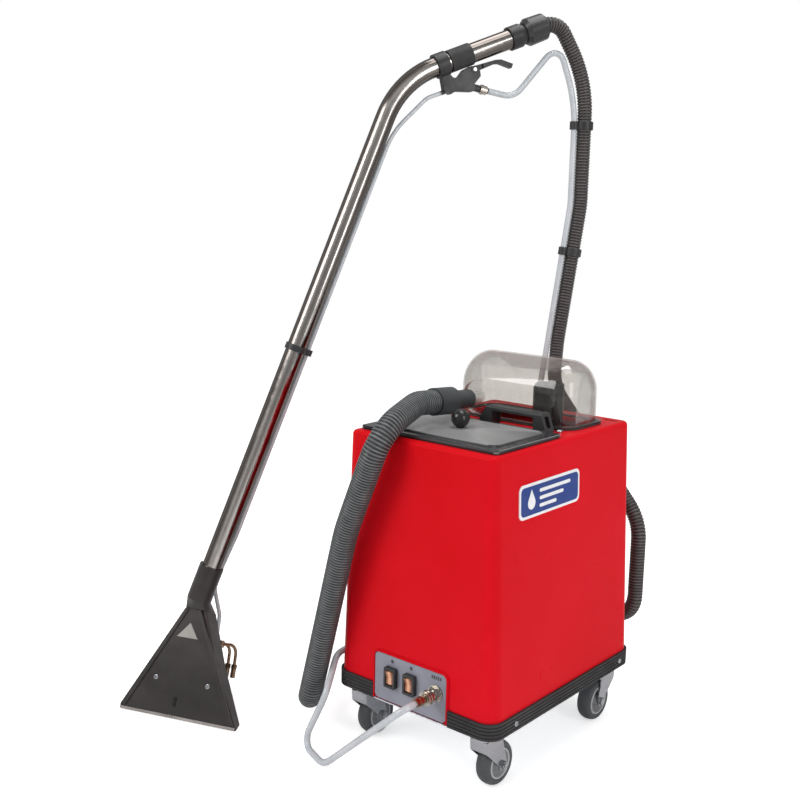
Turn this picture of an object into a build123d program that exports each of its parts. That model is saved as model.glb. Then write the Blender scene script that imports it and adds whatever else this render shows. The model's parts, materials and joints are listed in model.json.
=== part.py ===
"""Spot extractor: a wheeled carpet and upholstery cleaning machine with its hose and floor wand.

Frame: millimetres, +Z up, origin on the floor under the middle of the body.
The control panel faces -Y and the badge is on the +X side.
Each piece below is one named node, written to parts/<name>.step.
"""

from build123d import *
from math import cos, radians, sin, tan
import os

# ---------------------------------------------------------------- driving dimensions

# Body
body_width = 350.0
body_length = 458.0
body_height = 450.0
skirt_z = 110.0            # underside of the bumper strip and of the base plate
strip_height = 29.0
strip_proud = 4.0          # how far the bumper strip stands out of the body
draft_front = 6.0          # how far each face leans in over the body height
draft_side = 17.0
draft_rear = 17.0
base_corner = 28.0
top_corner = 16.0
top_edge = 8.0
rim_inset = 3.0            # rebate that the bumper strip sits in
wall = 8.0

body_bottom = skirt_z + strip_height
deck = body_bottom + body_height
half_width = body_width / 2
half_length = body_length / 2
rim_width = body_width - 2 * rim_inset
rim_length = body_length - 2 * rim_inset
top_width = body_width - 2 * draft_side
top_length = body_length - draft_front - draft_rear
top_centre_y = (draft_front - draft_rear) / 2

# Tanks and machine bay inside the body
tank_floor = 316.0
tank_top = deck - wall
fresh_front, fresh_rear = -208.0, -20.0
recovery_front, recovery_rear = 46.0, 204.0
tank_half_width = 150.0
bay_top = 300.0
bay_half_width = 160.0
bay_half_length = 212.0

# Base plate
plate_thickness = 2.0
bay_floor = skirt_z + plate_thickness

# Control panel, in a raised frame at the foot of the front
panel_width = 160.0
panel_bottom, panel_top = 114.0, 200.0
panel_corner = 9.0
panel_thickness = 2.5
frame_margin = 3.5
frame_front = -half_length - strip_proud
panel_face = frame_front + 1.0
switch_x = (-40.0, 3.0)
switch_z = 162.0
switch_width, switch_height = 25.0, 37.0
switch_depth = 9.0         # how far the housings stand out of the panel
rocker_width, rocker_height = 16.0, 27.0
coupling_x, coupling_z = 59.0, 164.0

# Fresh tank lid
lid_half_width = 148.0
lid_front, lid_rear = -205.0, -12.0
seal_thickness = 2.0
lid_flange = 5.0
lid_rise = 3.0
opening_inset = 15.0
knob_diameter = 33.0
knob_centre_z = 615.6

# Recovery dome
dome_half_width = 128.0
dome_front, dome_rear = 38.0, 165.0
dome_top = 708.0
dome_wall = 3.0
dome_flange = 8.0
dome_flange_thickness = 4.0
dome_end_radius = 42.0
inlet_x, inlet_z = -68.0, 627.0

# Standpipe inside the dome
cage_x, cage_y = 52.0, 75.0
cage_diameter = 40.0
cage_top = 666.0
duct_y = 112.0
duct_diameter = 34.0
float_diameter = 26.0
float_rest_z = 612.0
float_travel = 17.0

# Carry handle
handle_left, handle_right = -38.0, 112.0
handle_front, handle_rear = -7.0, 21.0
handle_height = 34.0

# Casters
wheel_diameter = 80.0
tread_width = 28.0
caster_inset = 42.0
caster_trail = 27.0
axle_diameter = 8.0
running_gap = 0.05

# Caster plates and forks
caster_plate_thickness = 3.0
caster_plate_z = skirt_z - caster_plate_thickness
race_bottom = 100.0
crown_top = 99.0
crown_thickness = 3.0
leg_inner = 15.8
leg_thickness = 2.4

# Machine bay
motor_radius = 68.0
pump_x, pump_y = -84.0, -96.0
inlet_socket_x, inlet_socket_z = -92.0, 170.0
inlet_socket_width, inlet_socket_height = 46.0, 27.0

# Hoses
hose_radius = 22.0         # machine end, 38 mm bore
thin_hose_radius = 15.0    # wand end, 25 mm bore
tube_radius = 6.0          # solution tube
hose_wall = 2.5

# Wand, drawn in an upright plane that passes through the neck of the floor tool
wand_foot = (-476.0, -309.0)
wand_azimuth = 60.3        # direction the wand runs in, from +X
wand_lean = 21.6           # lower tube, from upright; the grip leans as much from level
wand_radius = 19.0
wand_bend_radius = 175.0
neck_height = 209.0
socket_length = 75.0
bend_distance = 1080.0      # from the neck to the corner of the bend
grip_start = 480.8         # where the straight grip part begins, along the wand plane
tube_end = 178.0           # from there to the end of the steel tube

# Floor tool
lip_middle = (-444.7, -392.9)
lip_azimuth = 20.25
lip_length = 255.0
tool_lean = 21.3
mouth_z = 0.5
spray_inlet = (28.0, 151.0, -53.0)   # block behind the head, in the plate's frame
jet_x = (42.0, 56.0)

os.makedirs("parts", exist_ok=True)


standing = (Align.CENTER, Align.CENTER, Align.MIN)


# ---------------------------------------------------------------- helpers

def save(piece, label):
    """Names a finished piece and writes it as one node."""
    piece.part.label = label
    export_step(piece.part, f"parts/{label}.step")


def side_x(z):
    """Half width of the body at height z."""
    return half_width - draft_side * (z - body_bottom) / body_height


def between(start, end, fraction):
    """The point at a fraction of the way from start to end."""
    return Vector(*start) + (Vector(*end) - Vector(*start)) * fraction


def swept_tube(points, bends, outer, inner=0.0):
    """A tube of straight runs between the points, rounded at each inner point by its bend radius."""
    with BuildPart() as tube:
        with BuildLine() as path:
            if bends:
                FilletPolyline(*points, radius=bends)
            else:
                Polyline(*points)
        start = Plane(origin=path.line @ 0, z_dir=path.line % 0)
        with BuildSketch(start):
            Circle(outer)
            if inner:
                Circle(inner, mode=Mode.SUBTRACT)
        sweep(path=path.line)
    return tube


def turned(plane, outline, bore=0.0):
    """A round piece on the plane's normal, from (height, radius) steps; straight bore if given."""
    with BuildPart() as piece:
        for (low, radius), (high, _) in zip(outline, outline[1:]):
            with BuildSketch(plane.offset(low)):
                Circle(radius)
                if bore:
                    Circle(bore, mode=Mode.SUBTRACT)
            extrude(amount=high - low)
    return piece


# Planes used by several pieces
front_plane = Plane(origin=(0, panel_face, 0), x_dir=(1, 0, 0), z_dir=(0, -1, 0))
badge_z = 501.5
badge_y = -64.0
side_plane = Plane(
    origin=(side_x(badge_z), badge_y, badge_z),
    x_dir=(0, 1, 0),
    z_dir=(body_height, 0, draft_side),
)
inlet_plane = Plane(origin=(inlet_x, dome_front, inlet_z), x_dir=(1, 0, 0), z_dir=(0, -1, 0))

caster_x = half_width + strip_proud - caster_inset
caster_y = half_length + strip_proud - caster_inset
# name, x, y, direction of the trail along Y
casters = (
    ("front_left", -caster_x, -caster_y, 1),
    ("front_right", caster_x, -caster_y, 1),
    ("rear_left", -caster_x, caster_y, 1),
    ("rear_right", caster_x, caster_y, -1),
)
caster_centres = [(x, y) for _, x, y, _ in casters]
caster_bolt_pitch = 40.0
base_bolts = [(0, -bay_half_length - 4), (0, bay_half_length + 4),
              (-bay_half_width - 5, 0), (bay_half_width + 5, 0)]

strip_screws = [(sign, y) for sign in (-1, 1) for y in (-163.0, 186.0)]
strip_screw_z = 123.0
handle_feet = (handle_left + 15, handle_right - 15)
deck_stud = (120.0, 24.0)


# ---------------------------------------------------------------- body

def make_body_shell():
    """Rotomoulded housing: fresh tank in front, recovery tank behind, machine bay below."""
    with BuildPart() as shell:
        with BuildSketch(Plane.XY.offset(body_bottom)):
            RectangleRounded(body_width, body_length, base_corner)
        with BuildSketch(Plane.XY.offset(deck)):
            with Locations((0, top_centre_y)):
                RectangleRounded(top_width, top_length, top_corner)
        loft()
        fillet(shell.edges().group_by(Axis.Z)[-1], top_edge)
        # rim that the bumper strip wraps
        with BuildSketch(Plane.XY.offset(bay_floor)):
            RectangleRounded(rim_width, rim_length, base_corner)
        extrude(amount=strip_height + 2)
        # raised frame round the control panel
        frame_width = panel_width + 2 * frame_margin
        frame_top = panel_top + frame_margin
        with BuildSketch(Plane.XZ.offset(-frame_front - 20)):
            with Locations((0, (bay_floor + frame_top) / 2)):
                Rectangle(frame_width, frame_top - bay_floor)
            fillet(vertices().group_by(Axis.Y)[-1], panel_corner + frame_margin)
        extrude(amount=20)
        with BuildSketch(Plane.XZ.offset(-panel_face - panel_thickness - 1)):
            with Locations((0, (bay_floor + panel_top + 1) / 2)):
                Rectangle(panel_width + 2, panel_top + 1 - bay_floor)
            fillet(vertices().group_by(Axis.Y)[-1], panel_corner + 1)
        extrude(amount=10, mode=Mode.SUBTRACT)
        # window behind the panel into the bay
        with BuildSketch(Plane.XZ.offset(200)):
            with Locations((0, switch_z)):
                RectangleRounded(panel_width - 14, 66, 6)
        extrude(amount=30, mode=Mode.SUBTRACT)
        # machine bay
        with BuildSketch(Plane.XY.offset(bay_floor)):
            RectangleRounded(2 * bay_half_width, 2 * bay_half_length, 16)
        extrude(amount=bay_top - bay_floor, mode=Mode.SUBTRACT)
        # hollow divider between the two tanks
        with BuildSketch(Plane.XY.offset(bay_top)):
            with Locations((0, (fresh_rear + recovery_front) / 2)):
                RectangleRounded(240, recovery_front - fresh_rear - 2 * wall, 8)
        extrude(amount=tank_top - bay_top, mode=Mode.SUBTRACT)
        # tanks, and their smaller openings in the deck
        for front, rear in ((fresh_front, fresh_rear), (recovery_front, recovery_rear)):
            with BuildSketch(Plane.XY.offset(tank_floor)):
                with Locations((0, (front + rear) / 2)):
                    RectangleRounded(2 * tank_half_width, rear - front, 20)
            extrude(amount=tank_top - tank_floor, mode=Mode.SUBTRACT)
        with BuildSketch(Plane.XY.offset(tank_top)):
            with Locations((0, (lid_front + lid_rear) / 2)):
                RectangleRounded(
                    2 * (lid_half_width - opening_inset), lid_rear - lid_front - 2 * opening_inset, 18)
            with Locations((0, (dome_front + dome_rear) / 2)):
                RectangleRounded(2 * dome_half_width - 24, dome_rear - dome_front - 24, 22)
        extrude(amount=wall, mode=Mode.SUBTRACT)
        # finger recesses in the rear of the deck
        with BuildSketch(Plane.XY.offset(deck)):
            with Locations((130, 187), (-130, 187)):
                SlotOverall(30, 7)
        extrude(amount=-6, mode=Mode.SUBTRACT)
        # holes: standpipe, fresh water intake, rear power inlet, screws
        with Locations((cage_x, duct_y, tank_floor)):
            Hole(duct_diameter / 2 + 0.3, depth=tank_floor - bay_top + 2)
        with Locations((pump_x, pump_y, tank_floor)):
            Hole(tube_radius + 0.3, depth=tank_floor - bay_top + 2)
        with BuildSketch(Plane.XZ.offset(-half_length - 5)):
            with Locations((inlet_socket_x, inlet_socket_z)):
                Rectangle(inlet_socket_width + 0.6, inlet_socket_height + 0.6)
        extrude(amount=30, mode=Mode.SUBTRACT)
        for sign, y in strip_screws:
            seat = (sign * (half_width - rim_inset), y, strip_screw_z)
            with Locations(Plane(origin=seat, z_dir=(sign, 0, 0))):
                Hole(2.1, depth=9)
        with Locations(*[(x, y, deck) for x, y in
                         [(foot, (handle_front + handle_rear) / 2) for foot in handle_feet] + [deck_stud]]):
            Hole(2.6, depth=wall + 1)
        with Locations(*[Location((x, y, bay_floor), (180, 0, 0)) for x, y in base_bolts]):
            Hole(2.6, depth=9)
    save(shell, "body_shell")


def make_bumper_strip():
    """Ribbed rubber band round the foot of the body, open where the control panel sits."""
    ribs = 5
    groove = 2.0
    rib = (strip_height - groove * (ribs - 1)) / ribs
    outer_width = body_width + 2 * strip_proud
    outer_length = body_length + 2 * strip_proud
    with BuildPart() as strip:
        for i in range(ribs):
            low = skirt_z + i * (rib + groove)
            with BuildSketch(Plane.XY.offset(low)):
                RectangleRounded(outer_width, outer_length, base_corner + 2)
            extrude(amount=rib)
            if i < ribs - 1:
                with BuildSketch(Plane.XY.offset(low + rib)):
                    RectangleRounded(outer_width - 3, outer_length - 3, base_corner + 0.5)
                extrude(amount=groove)
        with BuildSketch(Plane.XY.offset(skirt_z)):
            RectangleRounded(rim_width + 0.2, rim_length + 0.2, base_corner)
        extrude(amount=strip_height, mode=Mode.SUBTRACT)
        with BuildSketch(Plane.XY.offset(skirt_z)):
            with Locations((0, -half_length)):
                Rectangle(panel_width + 2 * frame_margin + 1, 40)
        extrude(amount=strip_height, mode=Mode.SUBTRACT)
        for sign, y in strip_screws:
            seat = (sign * (half_width + strip_proud), y, strip_screw_z)
            with Locations(Plane(origin=seat, z_dir=(sign, 0, 0))):
                CounterBoreHole(2.2, 5.5, 1.6, depth=12)
    save(strip, "bumper_strip")


def make_base_plate():
    """Galvanised steel tray that closes the machine bay and carries the casters."""
    with BuildPart() as tray:
        with BuildSketch(Plane.XY.offset(skirt_z)):
            RectangleRounded(rim_width - 2, rim_length - 2, base_corner - 2)
            with Locations((0, (frame_front - half_length) / 2 + 8)):
                Rectangle(panel_width, half_length + frame_front + 24)
        extrude(amount=plate_thickness)
        # upturned edge
        with BuildSketch(Plane.XY.offset(bay_floor)):
            RectangleRounded(2 * bay_half_width - 1, 2 * bay_half_length - 1, 15.5)
            RectangleRounded(
                2 * bay_half_width - 1 - 2 * plate_thickness,
                2 * bay_half_length - 1 - 2 * plate_thickness, 13.5, mode=Mode.SUBTRACT)
            with Locations((0, -bay_half_length)):
                Rectangle(panel_width, 30, mode=Mode.SUBTRACT)
        extrude(amount=20)
        for x, y in caster_centres:
            with BuildSketch(Plane.XY.offset(skirt_z)):
                with Locations((x, y)):
                    with GridLocations(caster_bolt_pitch, caster_bolt_pitch, 2, 2):
                        Circle(3.2)
            extrude(amount=plate_thickness, mode=Mode.SUBTRACT)
        with BuildSketch(Plane.XY.offset(skirt_z)):
            with Locations(*base_bolts):
                Circle(2.7)
            with Locations((cage_x, duct_y)):
                with GridLocations(18, 70, 5, 2):
                    SlotOverall(44, 7, rotation=90)
        extrude(amount=plate_thickness, mode=Mode.SUBTRACT)
    save(tray, "base_plate")


def hex_bolt(plane, shank_radius, shank_length, head_across, head_height):
    """A bolt whose head stands on the plane and whose shank runs into it."""
    with BuildPart() as bolt:
        with BuildSketch(plane):
            RegularPolygon(head_across / 2, 6, major_radius=False)
        extrude(amount=head_height)
        with BuildSketch(plane):
            Circle(shank_radius)
        extrude(amount=-shank_length)
    return bolt.part


def domed_screw(plane, shank_radius, shank_length, head_radius, head_height):
    """A cross-head screw with a rounded head on the plane."""
    with BuildPart() as screw:
        with BuildSketch(plane):
            Circle(head_radius)
        extrude(amount=head_height)
        crown = screw.faces().sort_by(Axis(plane.origin, plane.z_dir))[-1]
        fillet(crown.edges(), head_height * 0.6)
        with BuildSketch(plane.offset(head_height)):
            Rectangle(head_radius * 0.9, head_radius * 0.22)
            Rectangle(head_radius * 0.22, head_radius * 0.9)
        extrude(amount=-head_height * 0.5, mode=Mode.SUBTRACT)
        with BuildSketch(plane):
            Circle(shank_radius)
        extrude(amount=-shank_length)
    return screw.part


def make_body_fasteners():
    """All screws and bolts of the body: strip, handle, deck stud, base plate and caster plates."""
    screws = []
    for sign, y in strip_screws:
        seat = Plane(origin=(sign * (half_width + strip_proud - 1.6), y, strip_screw_z), z_dir=(sign, 0, 0))
        screws.append(domed_screw(seat, 2.0, 11, 5.0, 2.8))
    for foot in handle_feet:
        seat = Plane(origin=(foot, (handle_front + handle_rear) / 2, deck + 8), z_dir=(0, 0, 1))
        screws.append(domed_screw(seat, 2.5, 15, 4.5, 3.0))
    screws.append(domed_screw(Plane(origin=(*deck_stud, deck), z_dir=(0, 0, 1)), 2.5, 7, 6.0, 5.0))
    for x, y in base_bolts:
        screws.append(hex_bolt(Plane(origin=(x, y, skirt_z), z_dir=(0, 0, -1)), 2.5, 9, 8, 3.5))
    half = caster_bolt_pitch / 2
    for x, y in caster_centres:
        for dx in (-half, half):
            for dy in (-half, half):
                seat = Plane(origin=(x + dx, y + dy, caster_plate_z), z_dir=(0, 0, -1))
                screws.append(hex_bolt(seat, 3.0, 5, 10, 4))
    with BuildPart() as fasteners:
        add(screws)
    save(fasteners, "body_fasteners")


def make_control_panel():
    """Sheet metal panel with its two switch cut-outs and the coupling hole."""
    height = panel_top - panel_bottom
    with BuildPart() as panel:
        with BuildSketch(front_plane):
            with Locations((0, panel_bottom + height / 2)):
                Rectangle(panel_width, height)
            fillet(vertices().group_by(Axis.Z)[-1], panel_corner)
            for x in switch_x:
                with Locations((x, switch_z)):
                    Rectangle(switch_width - 4, switch_height - 4, mode=Mode.SUBTRACT)
            with Locations((coupling_x, coupling_z)):
                Circle(9.2, mode=Mode.SUBTRACT)
        extrude(amount=-panel_thickness)
    save(panel, "control_panel")


def make_switch_frames():
    """Two switch housings: a bezel on the panel and a box behind it."""
    with BuildPart() as frames:
        for x in switch_x:
            with BuildSketch(front_plane):
                with Locations((x, switch_z)):
                    RectangleRounded(switch_width, switch_height, 2.5)
            extrude(amount=switch_depth)
            with BuildSketch(front_plane):
                with Locations((x, switch_z)):
                    Rectangle(switch_width - 4.4, switch_height - 4.4)
            extrude(amount=-26)
            with BuildSketch(front_plane.offset(switch_depth)):
                with Locations((x, switch_z)):
                    Rectangle(rocker_width + 1, rocker_height + 1)
            extrude(amount=-25, mode=Mode.SUBTRACT)
            # pin that the rocker turns on
            with BuildSketch(Plane(origin=(x, panel_face - 1, switch_z), z_dir=(1, 0, 0))):
                Circle(1.5)
            extrude(amount=switch_width / 2 - 3, both=True)
    save(frames, "switch_frames")


def make_rocker(x, label):
    """Rocker cap: two faces that meet at a shallow angle over the pivot pin."""
    half = rocker_height / 2 - 1.6
    with BuildPart() as rocker:
        edge = (x - rocker_width / 2, panel_face, switch_z)
        with BuildSketch(Plane(origin=edge, x_dir=(0, -1, 0), z_dir=(1, 0, 0))):
            with BuildLine():
                Polyline((-5, -6), (6, -half), (10, -half), (6.6, 0), (7, half), (6, half),
                         (-5, 6), (-5, -6))
            make_face()
        extrude(amount=rocker_width)
        with BuildSketch(Plane(origin=(x, panel_face - 1, switch_z), z_dir=(1, 0, 0))):
            Circle(1.5 + running_gap)
        extrude(amount=rocker_width, both=True, mode=Mode.SUBTRACT)
    save(rocker, label)


def make_coupling():
    """Quick coupling: socket through the panel, spring sleeve, and the plug on the solution tube."""
    axis = Plane(origin=(coupling_x, panel_face, coupling_z), x_dir=(1, 0, 0), z_dir=(0, -1, 0))
    with BuildPart() as socket:
        with BuildSketch(axis.offset(-14)):
            Circle(9)
        extrude(amount=14)
        with BuildSketch(axis.offset(-panel_thickness - 5)):
            RegularPolygon(12, 6)
        extrude(amount=4.5)
        with BuildSketch(axis):
            Circle(14.5)
        extrude(amount=3)
        with BuildSketch(axis.offset(3)):
            RegularPolygon(13, 6)
        extrude(amount=9)
        with BuildSketch(axis.offset(12)):
            Circle(8.5)
        extrude(amount=22)
        with BuildSketch(axis.offset(34)):
            Circle(4.3)
        extrude(amount=-46, mode=Mode.SUBTRACT)
    save(socket, "coupling_socket")

    with BuildPart() as sleeve:
        with BuildSketch(axis.offset(18)):
            Circle(11.5)
            Circle(8.5 + running_gap, mode=Mode.SUBTRACT)
        extrude(amount=15)
        with BuildSketch(axis.offset(22)):
            Circle(13)
            Circle(11.4, mode=Mode.SUBTRACT)
        extrude(amount=2.5)
        with BuildSketch(axis.offset(28)):
            Circle(13)
            Circle(11.4, mode=Mode.SUBTRACT)
        extrude(amount=2.5)
    save(sleeve, "coupling_sleeve")

    with BuildPart() as plug:
        with BuildSketch(axis.offset(20)):
            Circle(4.2)
        extrude(amount=15)
        with BuildSketch(axis.offset(34.5)):
            Circle(6.5)
        extrude(amount=5)
        with BuildSketch(axis.offset(39.5)):
            RegularPolygon(8.5, 6)
        extrude(amount=9)
        with BuildSketch(axis.offset(48.5)):
            Circle(7.2)
        extrude(amount=8)
    save(plug, "hose_plug")


def make_badge_plate():
    """Name plate on the side, left blank."""
    with BuildPart() as badge:
        with BuildSketch(side_plane.offset(0.02)):
            RectangleRounded(186, 59, 11)
        extrude(amount=1.6)
    save(badge, "badge_plate")


def make_carry_handle():
    """Bridge handle across the deck, with sloped ends and hollowed feet."""
    rise = 20.0
    with BuildPart() as handle:
        with BuildSketch(Plane.XZ.offset(-handle_rear)):
            with BuildLine():
                Polyline((handle_left, deck), (handle_left + rise, deck + handle_height),
                         (handle_right - 12, deck + handle_height), (handle_right, deck),
                         (handle_left, deck))
            make_face()
            with Locations(((handle_left + handle_right) / 2 + 2, deck + (handle_height - 8) / 2)):
                Rectangle(handle_right - handle_left - 60, handle_height - 8, mode=Mode.SUBTRACT)
        extrude(amount=handle_rear - handle_front)
        fillet(handle.edges().filter_by(Axis.X).group_by(Axis.Z)[-1], 4)
        # pockets over the fixing screws, open at the sloped ends
        for foot, sign in zip(handle_feet, (-1, 1)):
            with BuildSketch(Plane.XY.offset(deck + 8)):
                with Locations((foot + sign * 6, (handle_front + handle_rear) / 2)):
                    Rectangle(24, 12)
            extrude(amount=handle_height - 14, mode=Mode.SUBTRACT)
            with Locations((foot, (handle_front + handle_rear) / 2, deck + 8)):
                Hole(2.6, depth=9)
    save(handle, "carry_handle")


# ---------------------------------------------------------------- fresh tank lid

def make_fresh_tank_lid():
    """Lift-off lid: flat flange, raised bevelled middle and a skirt that drops into the opening."""
    width = 2 * lid_half_width
    length = lid_rear - lid_front
    centre = (0, (lid_front + lid_rear) / 2)
    skirt_width = width - 2 * opening_inset - 2
    skirt_length = length - 2 * opening_inset - 2
    base = deck + seal_thickness
    with BuildPart() as lid:
        with BuildSketch(Plane.XY.offset(base)):
            with Locations(centre):
                RectangleRounded(width, length, 8)
        extrude(amount=lid_flange)
        fillet(lid.edges().group_by(Axis.Z)[-1], 1.5)
        with BuildSketch(Plane.XY.offset(base + lid_flange)):
            with Locations(centre):
                RectangleRounded(width - 36, length - 36, 16)
        extrude(amount=lid_rise, taper=45)
        with BuildSketch(Plane.XY.offset(base)):
            with Locations(centre):
                RectangleRounded(skirt_width, skirt_length, 17)
                RectangleRounded(skirt_width - 6, skirt_length - 6, 14, mode=Mode.SUBTRACT)
        extrude(amount=-12)
        with BuildSketch(Plane.XY.offset(base)):
            with Locations(centre):
                RectangleRounded(width - 46, length - 46, 12)
        extrude(amount=lid_flange + lid_rise - 4, mode=Mode.SUBTRACT)
        with Locations((*centre, base + lid_flange + lid_rise)):
            Hole(3.2, depth=6)
    save(lid, "fresh_tank_lid")

    with BuildPart() as seal:
        with BuildSketch(Plane.XY.offset(deck)):
            with Locations(centre):
                RectangleRounded(width - 3, length - 3, 7)
                RectangleRounded(width - 20, length - 20, 14, mode=Mode.SUBTRACT)
        extrude(amount=seal_thickness)
    save(seal, "lid_seal")

    lid_top = base + lid_flange + lid_rise
    with BuildPart() as knob:
        with Locations((*centre, knob_centre_z)):
            Sphere(knob_diameter / 2)
        with BuildSketch(Plane.XY.offset(lid_top)):
            with Locations(centre):
                Circle(7)
        extrude(amount=10)
        with BuildSketch(Plane.XY.offset(lid_top)):
            with Locations(centre):
                Circle(3)
        extrude(amount=-5)
        with BuildSketch(Plane.XY.offset(lid_top - 4.5)):
            with Locations(centre):
                RegularPolygon(7, 6)
        extrude(amount=-4)
    save(knob, "ball_knob")


# ---------------------------------------------------------------- recovery dome

def dome_block(inset, low):
    """Long block with an arched cross-section and rounded ends, shrunk by inset."""
    front, rear = dome_front + inset, dome_rear - inset
    radius = (rear - front) / 2
    spring = dome_top - inset - radius
    with BuildPart() as block:
        with BuildSketch(Plane.YZ.offset(-(dome_half_width - inset))):
            with BuildLine():
                Line((front, low), (rear, low))
                Line((rear, low), (rear, spring))
                ThreePointArc((rear, spring), ((front + rear) / 2, spring + radius), (front, spring))
                Line((front, spring), (front, low))
            make_face()
        extrude(amount=2 * (dome_half_width - inset))
        ends = block.faces().filter_by(Axis.X)
        rims = [edge for face in ends for edge in face.edges() if edge.center().Z > low + 1]
        fillet(rims, dome_end_radius - inset)
    return block.part


def make_recovery_dome():
    """Clear cover of the recovery tank, with a stepped inlet boss for the vacuum hose."""
    low = deck + seal_thickness
    outer = dome_block(0, low)
    inner = dome_block(dome_wall, low)
    centre = (0, (dome_front + dome_rear) / 2)
    width = 2 * (dome_half_width + dome_flange)
    length = dome_rear - dome_front + 2 * dome_flange
    with BuildPart() as dome:
        with BuildSketch(Plane.XY.offset(low)):
            with Locations(centre):
                RectangleRounded(width, length, dome_end_radius)
        extrude(amount=dome_flange_thickness)
        add(outer)
        for low_step, high_step, radius in ((-14, 10, 31), (9, 17, 26), (16, 24, 21), (23, 44, 13.5)):
            with BuildSketch(inlet_plane.offset(low_step)):
                Circle(radius)
            extrude(amount=high_step - low_step)
        add(inner, mode=Mode.SUBTRACT)
        with BuildSketch(inlet_plane.offset(50)):
            Circle(11)
        extrude(amount=-80, mode=Mode.SUBTRACT)
    save(dome, "recovery_dome")

    with BuildPart() as seal:
        with BuildSketch(Plane.XY.offset(deck)):
            with Locations(centre):
                RectangleRounded(width - 2, length - 2, dome_end_radius - 1)
                RectangleRounded(2 * dome_half_width - 14, dome_rear - dome_front - 14, dome_end_radius - 7,
                                 mode=Mode.SUBTRACT)
        extrude(amount=seal_thickness)
    save(seal, "dome_seal")

    with BuildPart() as cuff:
        with BuildSketch(cuff_plane):
            Circle(17.5)
            Circle(14.9, mode=Mode.SUBTRACT)
        extrude(amount=cuff_neck)
        with BuildSketch(cuff_plane.offset(cuff_neck)):
            Circle(17.5)
            Circle(12, mode=Mode.SUBTRACT)
        with BuildSketch(cuff_plane.offset(cuff_neck + 10)):
            Circle(25)
            Circle(12, mode=Mode.SUBTRACT)
        loft()
        with BuildSketch(cuff_plane.offset(cuff_neck + 10)):
            Circle(25)
            Circle(12, mode=Mode.SUBTRACT)
        extrude(amount=cuff_length - cuff_neck - 10)
    save(cuff, "dome_cuff")


def make_standpipe():
    """Suction pipe of the recovery tank: float cage under a domed cap, and the duct down to the motor."""
    radius = cage_diameter / 2
    floor_z = float_rest_z - float_diameter / 2 - 3
    seat_z = float_rest_z + float_travel + float_diameter / 2 - 3
    with BuildPart() as pipe:
        with BuildSketch(Plane.XY.offset(floor_z)):
            with Locations((cage_x, cage_y)):
                Circle(radius)
        extrude(amount=cage_top - floor_z)
        fillet(pipe.edges().group_by(Axis.Z)[-1], 13)
        # duct behind the cage, joined to it by a bridge
        with BuildSketch(Plane.XY.offset(bay_top - 6)):
            with Locations((cage_x, duct_y)):
                Circle(duct_diameter / 2)
        extrude(amount=cage_top - 8 - bay_top + 6)
        with BuildSketch(Plane.XY.offset(seat_z + 2)):
            with Locations((cage_x, (cage_y + duct_y) / 2)):
                Rectangle(24, duct_y - cage_y)
        extrude(amount=cage_top - 8 - seat_z - 2)
        # ball chamber, seat hole and passage into the duct
        with BuildSketch(Plane.XY.offset(floor_z + 2)):
            with Locations((cage_x, cage_y)):
                Circle(float_diameter / 2 + 1)
        extrude(amount=seat_z - floor_z - 2, mode=Mode.SUBTRACT)
        with BuildSketch(Plane.XY.offset(seat_z - 1)):
            with Locations((cage_x, cage_y)):
                Circle(9)
        extrude(amount=cage_top - 12 - seat_z + 1, mode=Mode.SUBTRACT)
        with BuildSketch(Plane.XY.offset(seat_z + 4)):
            with Locations((cage_x, (cage_y + duct_y) / 2)):
                Rectangle(18, duct_y - cage_y)
        extrude(amount=cage_top - 12 - seat_z - 4, mode=Mode.SUBTRACT)
        with BuildSketch(Plane.XY.offset(bay_top - 6)):
            with Locations((cage_x, duct_y)):
                Circle(duct_diameter / 2 - 3)
        extrude(amount=cage_top - 12 - bay_top + 6, mode=Mode.SUBTRACT)
        # side windows that let air in round the ball
        with BuildSketch(Plane.XY.offset(floor_z + 6)):
            with Locations((cage_x, cage_y)):
                Rectangle(cage_diameter + 4, 9)
        extrude(amount=20, mode=Mode.SUBTRACT)
    save(pipe, "standpipe")

    with BuildPart() as ball:
        with Locations((cage_x, cage_y, float_rest_z)):
            Sphere(float_diameter / 2)
    save(ball, "float_ball")


# ---------------------------------------------------------------- machine bay


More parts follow.
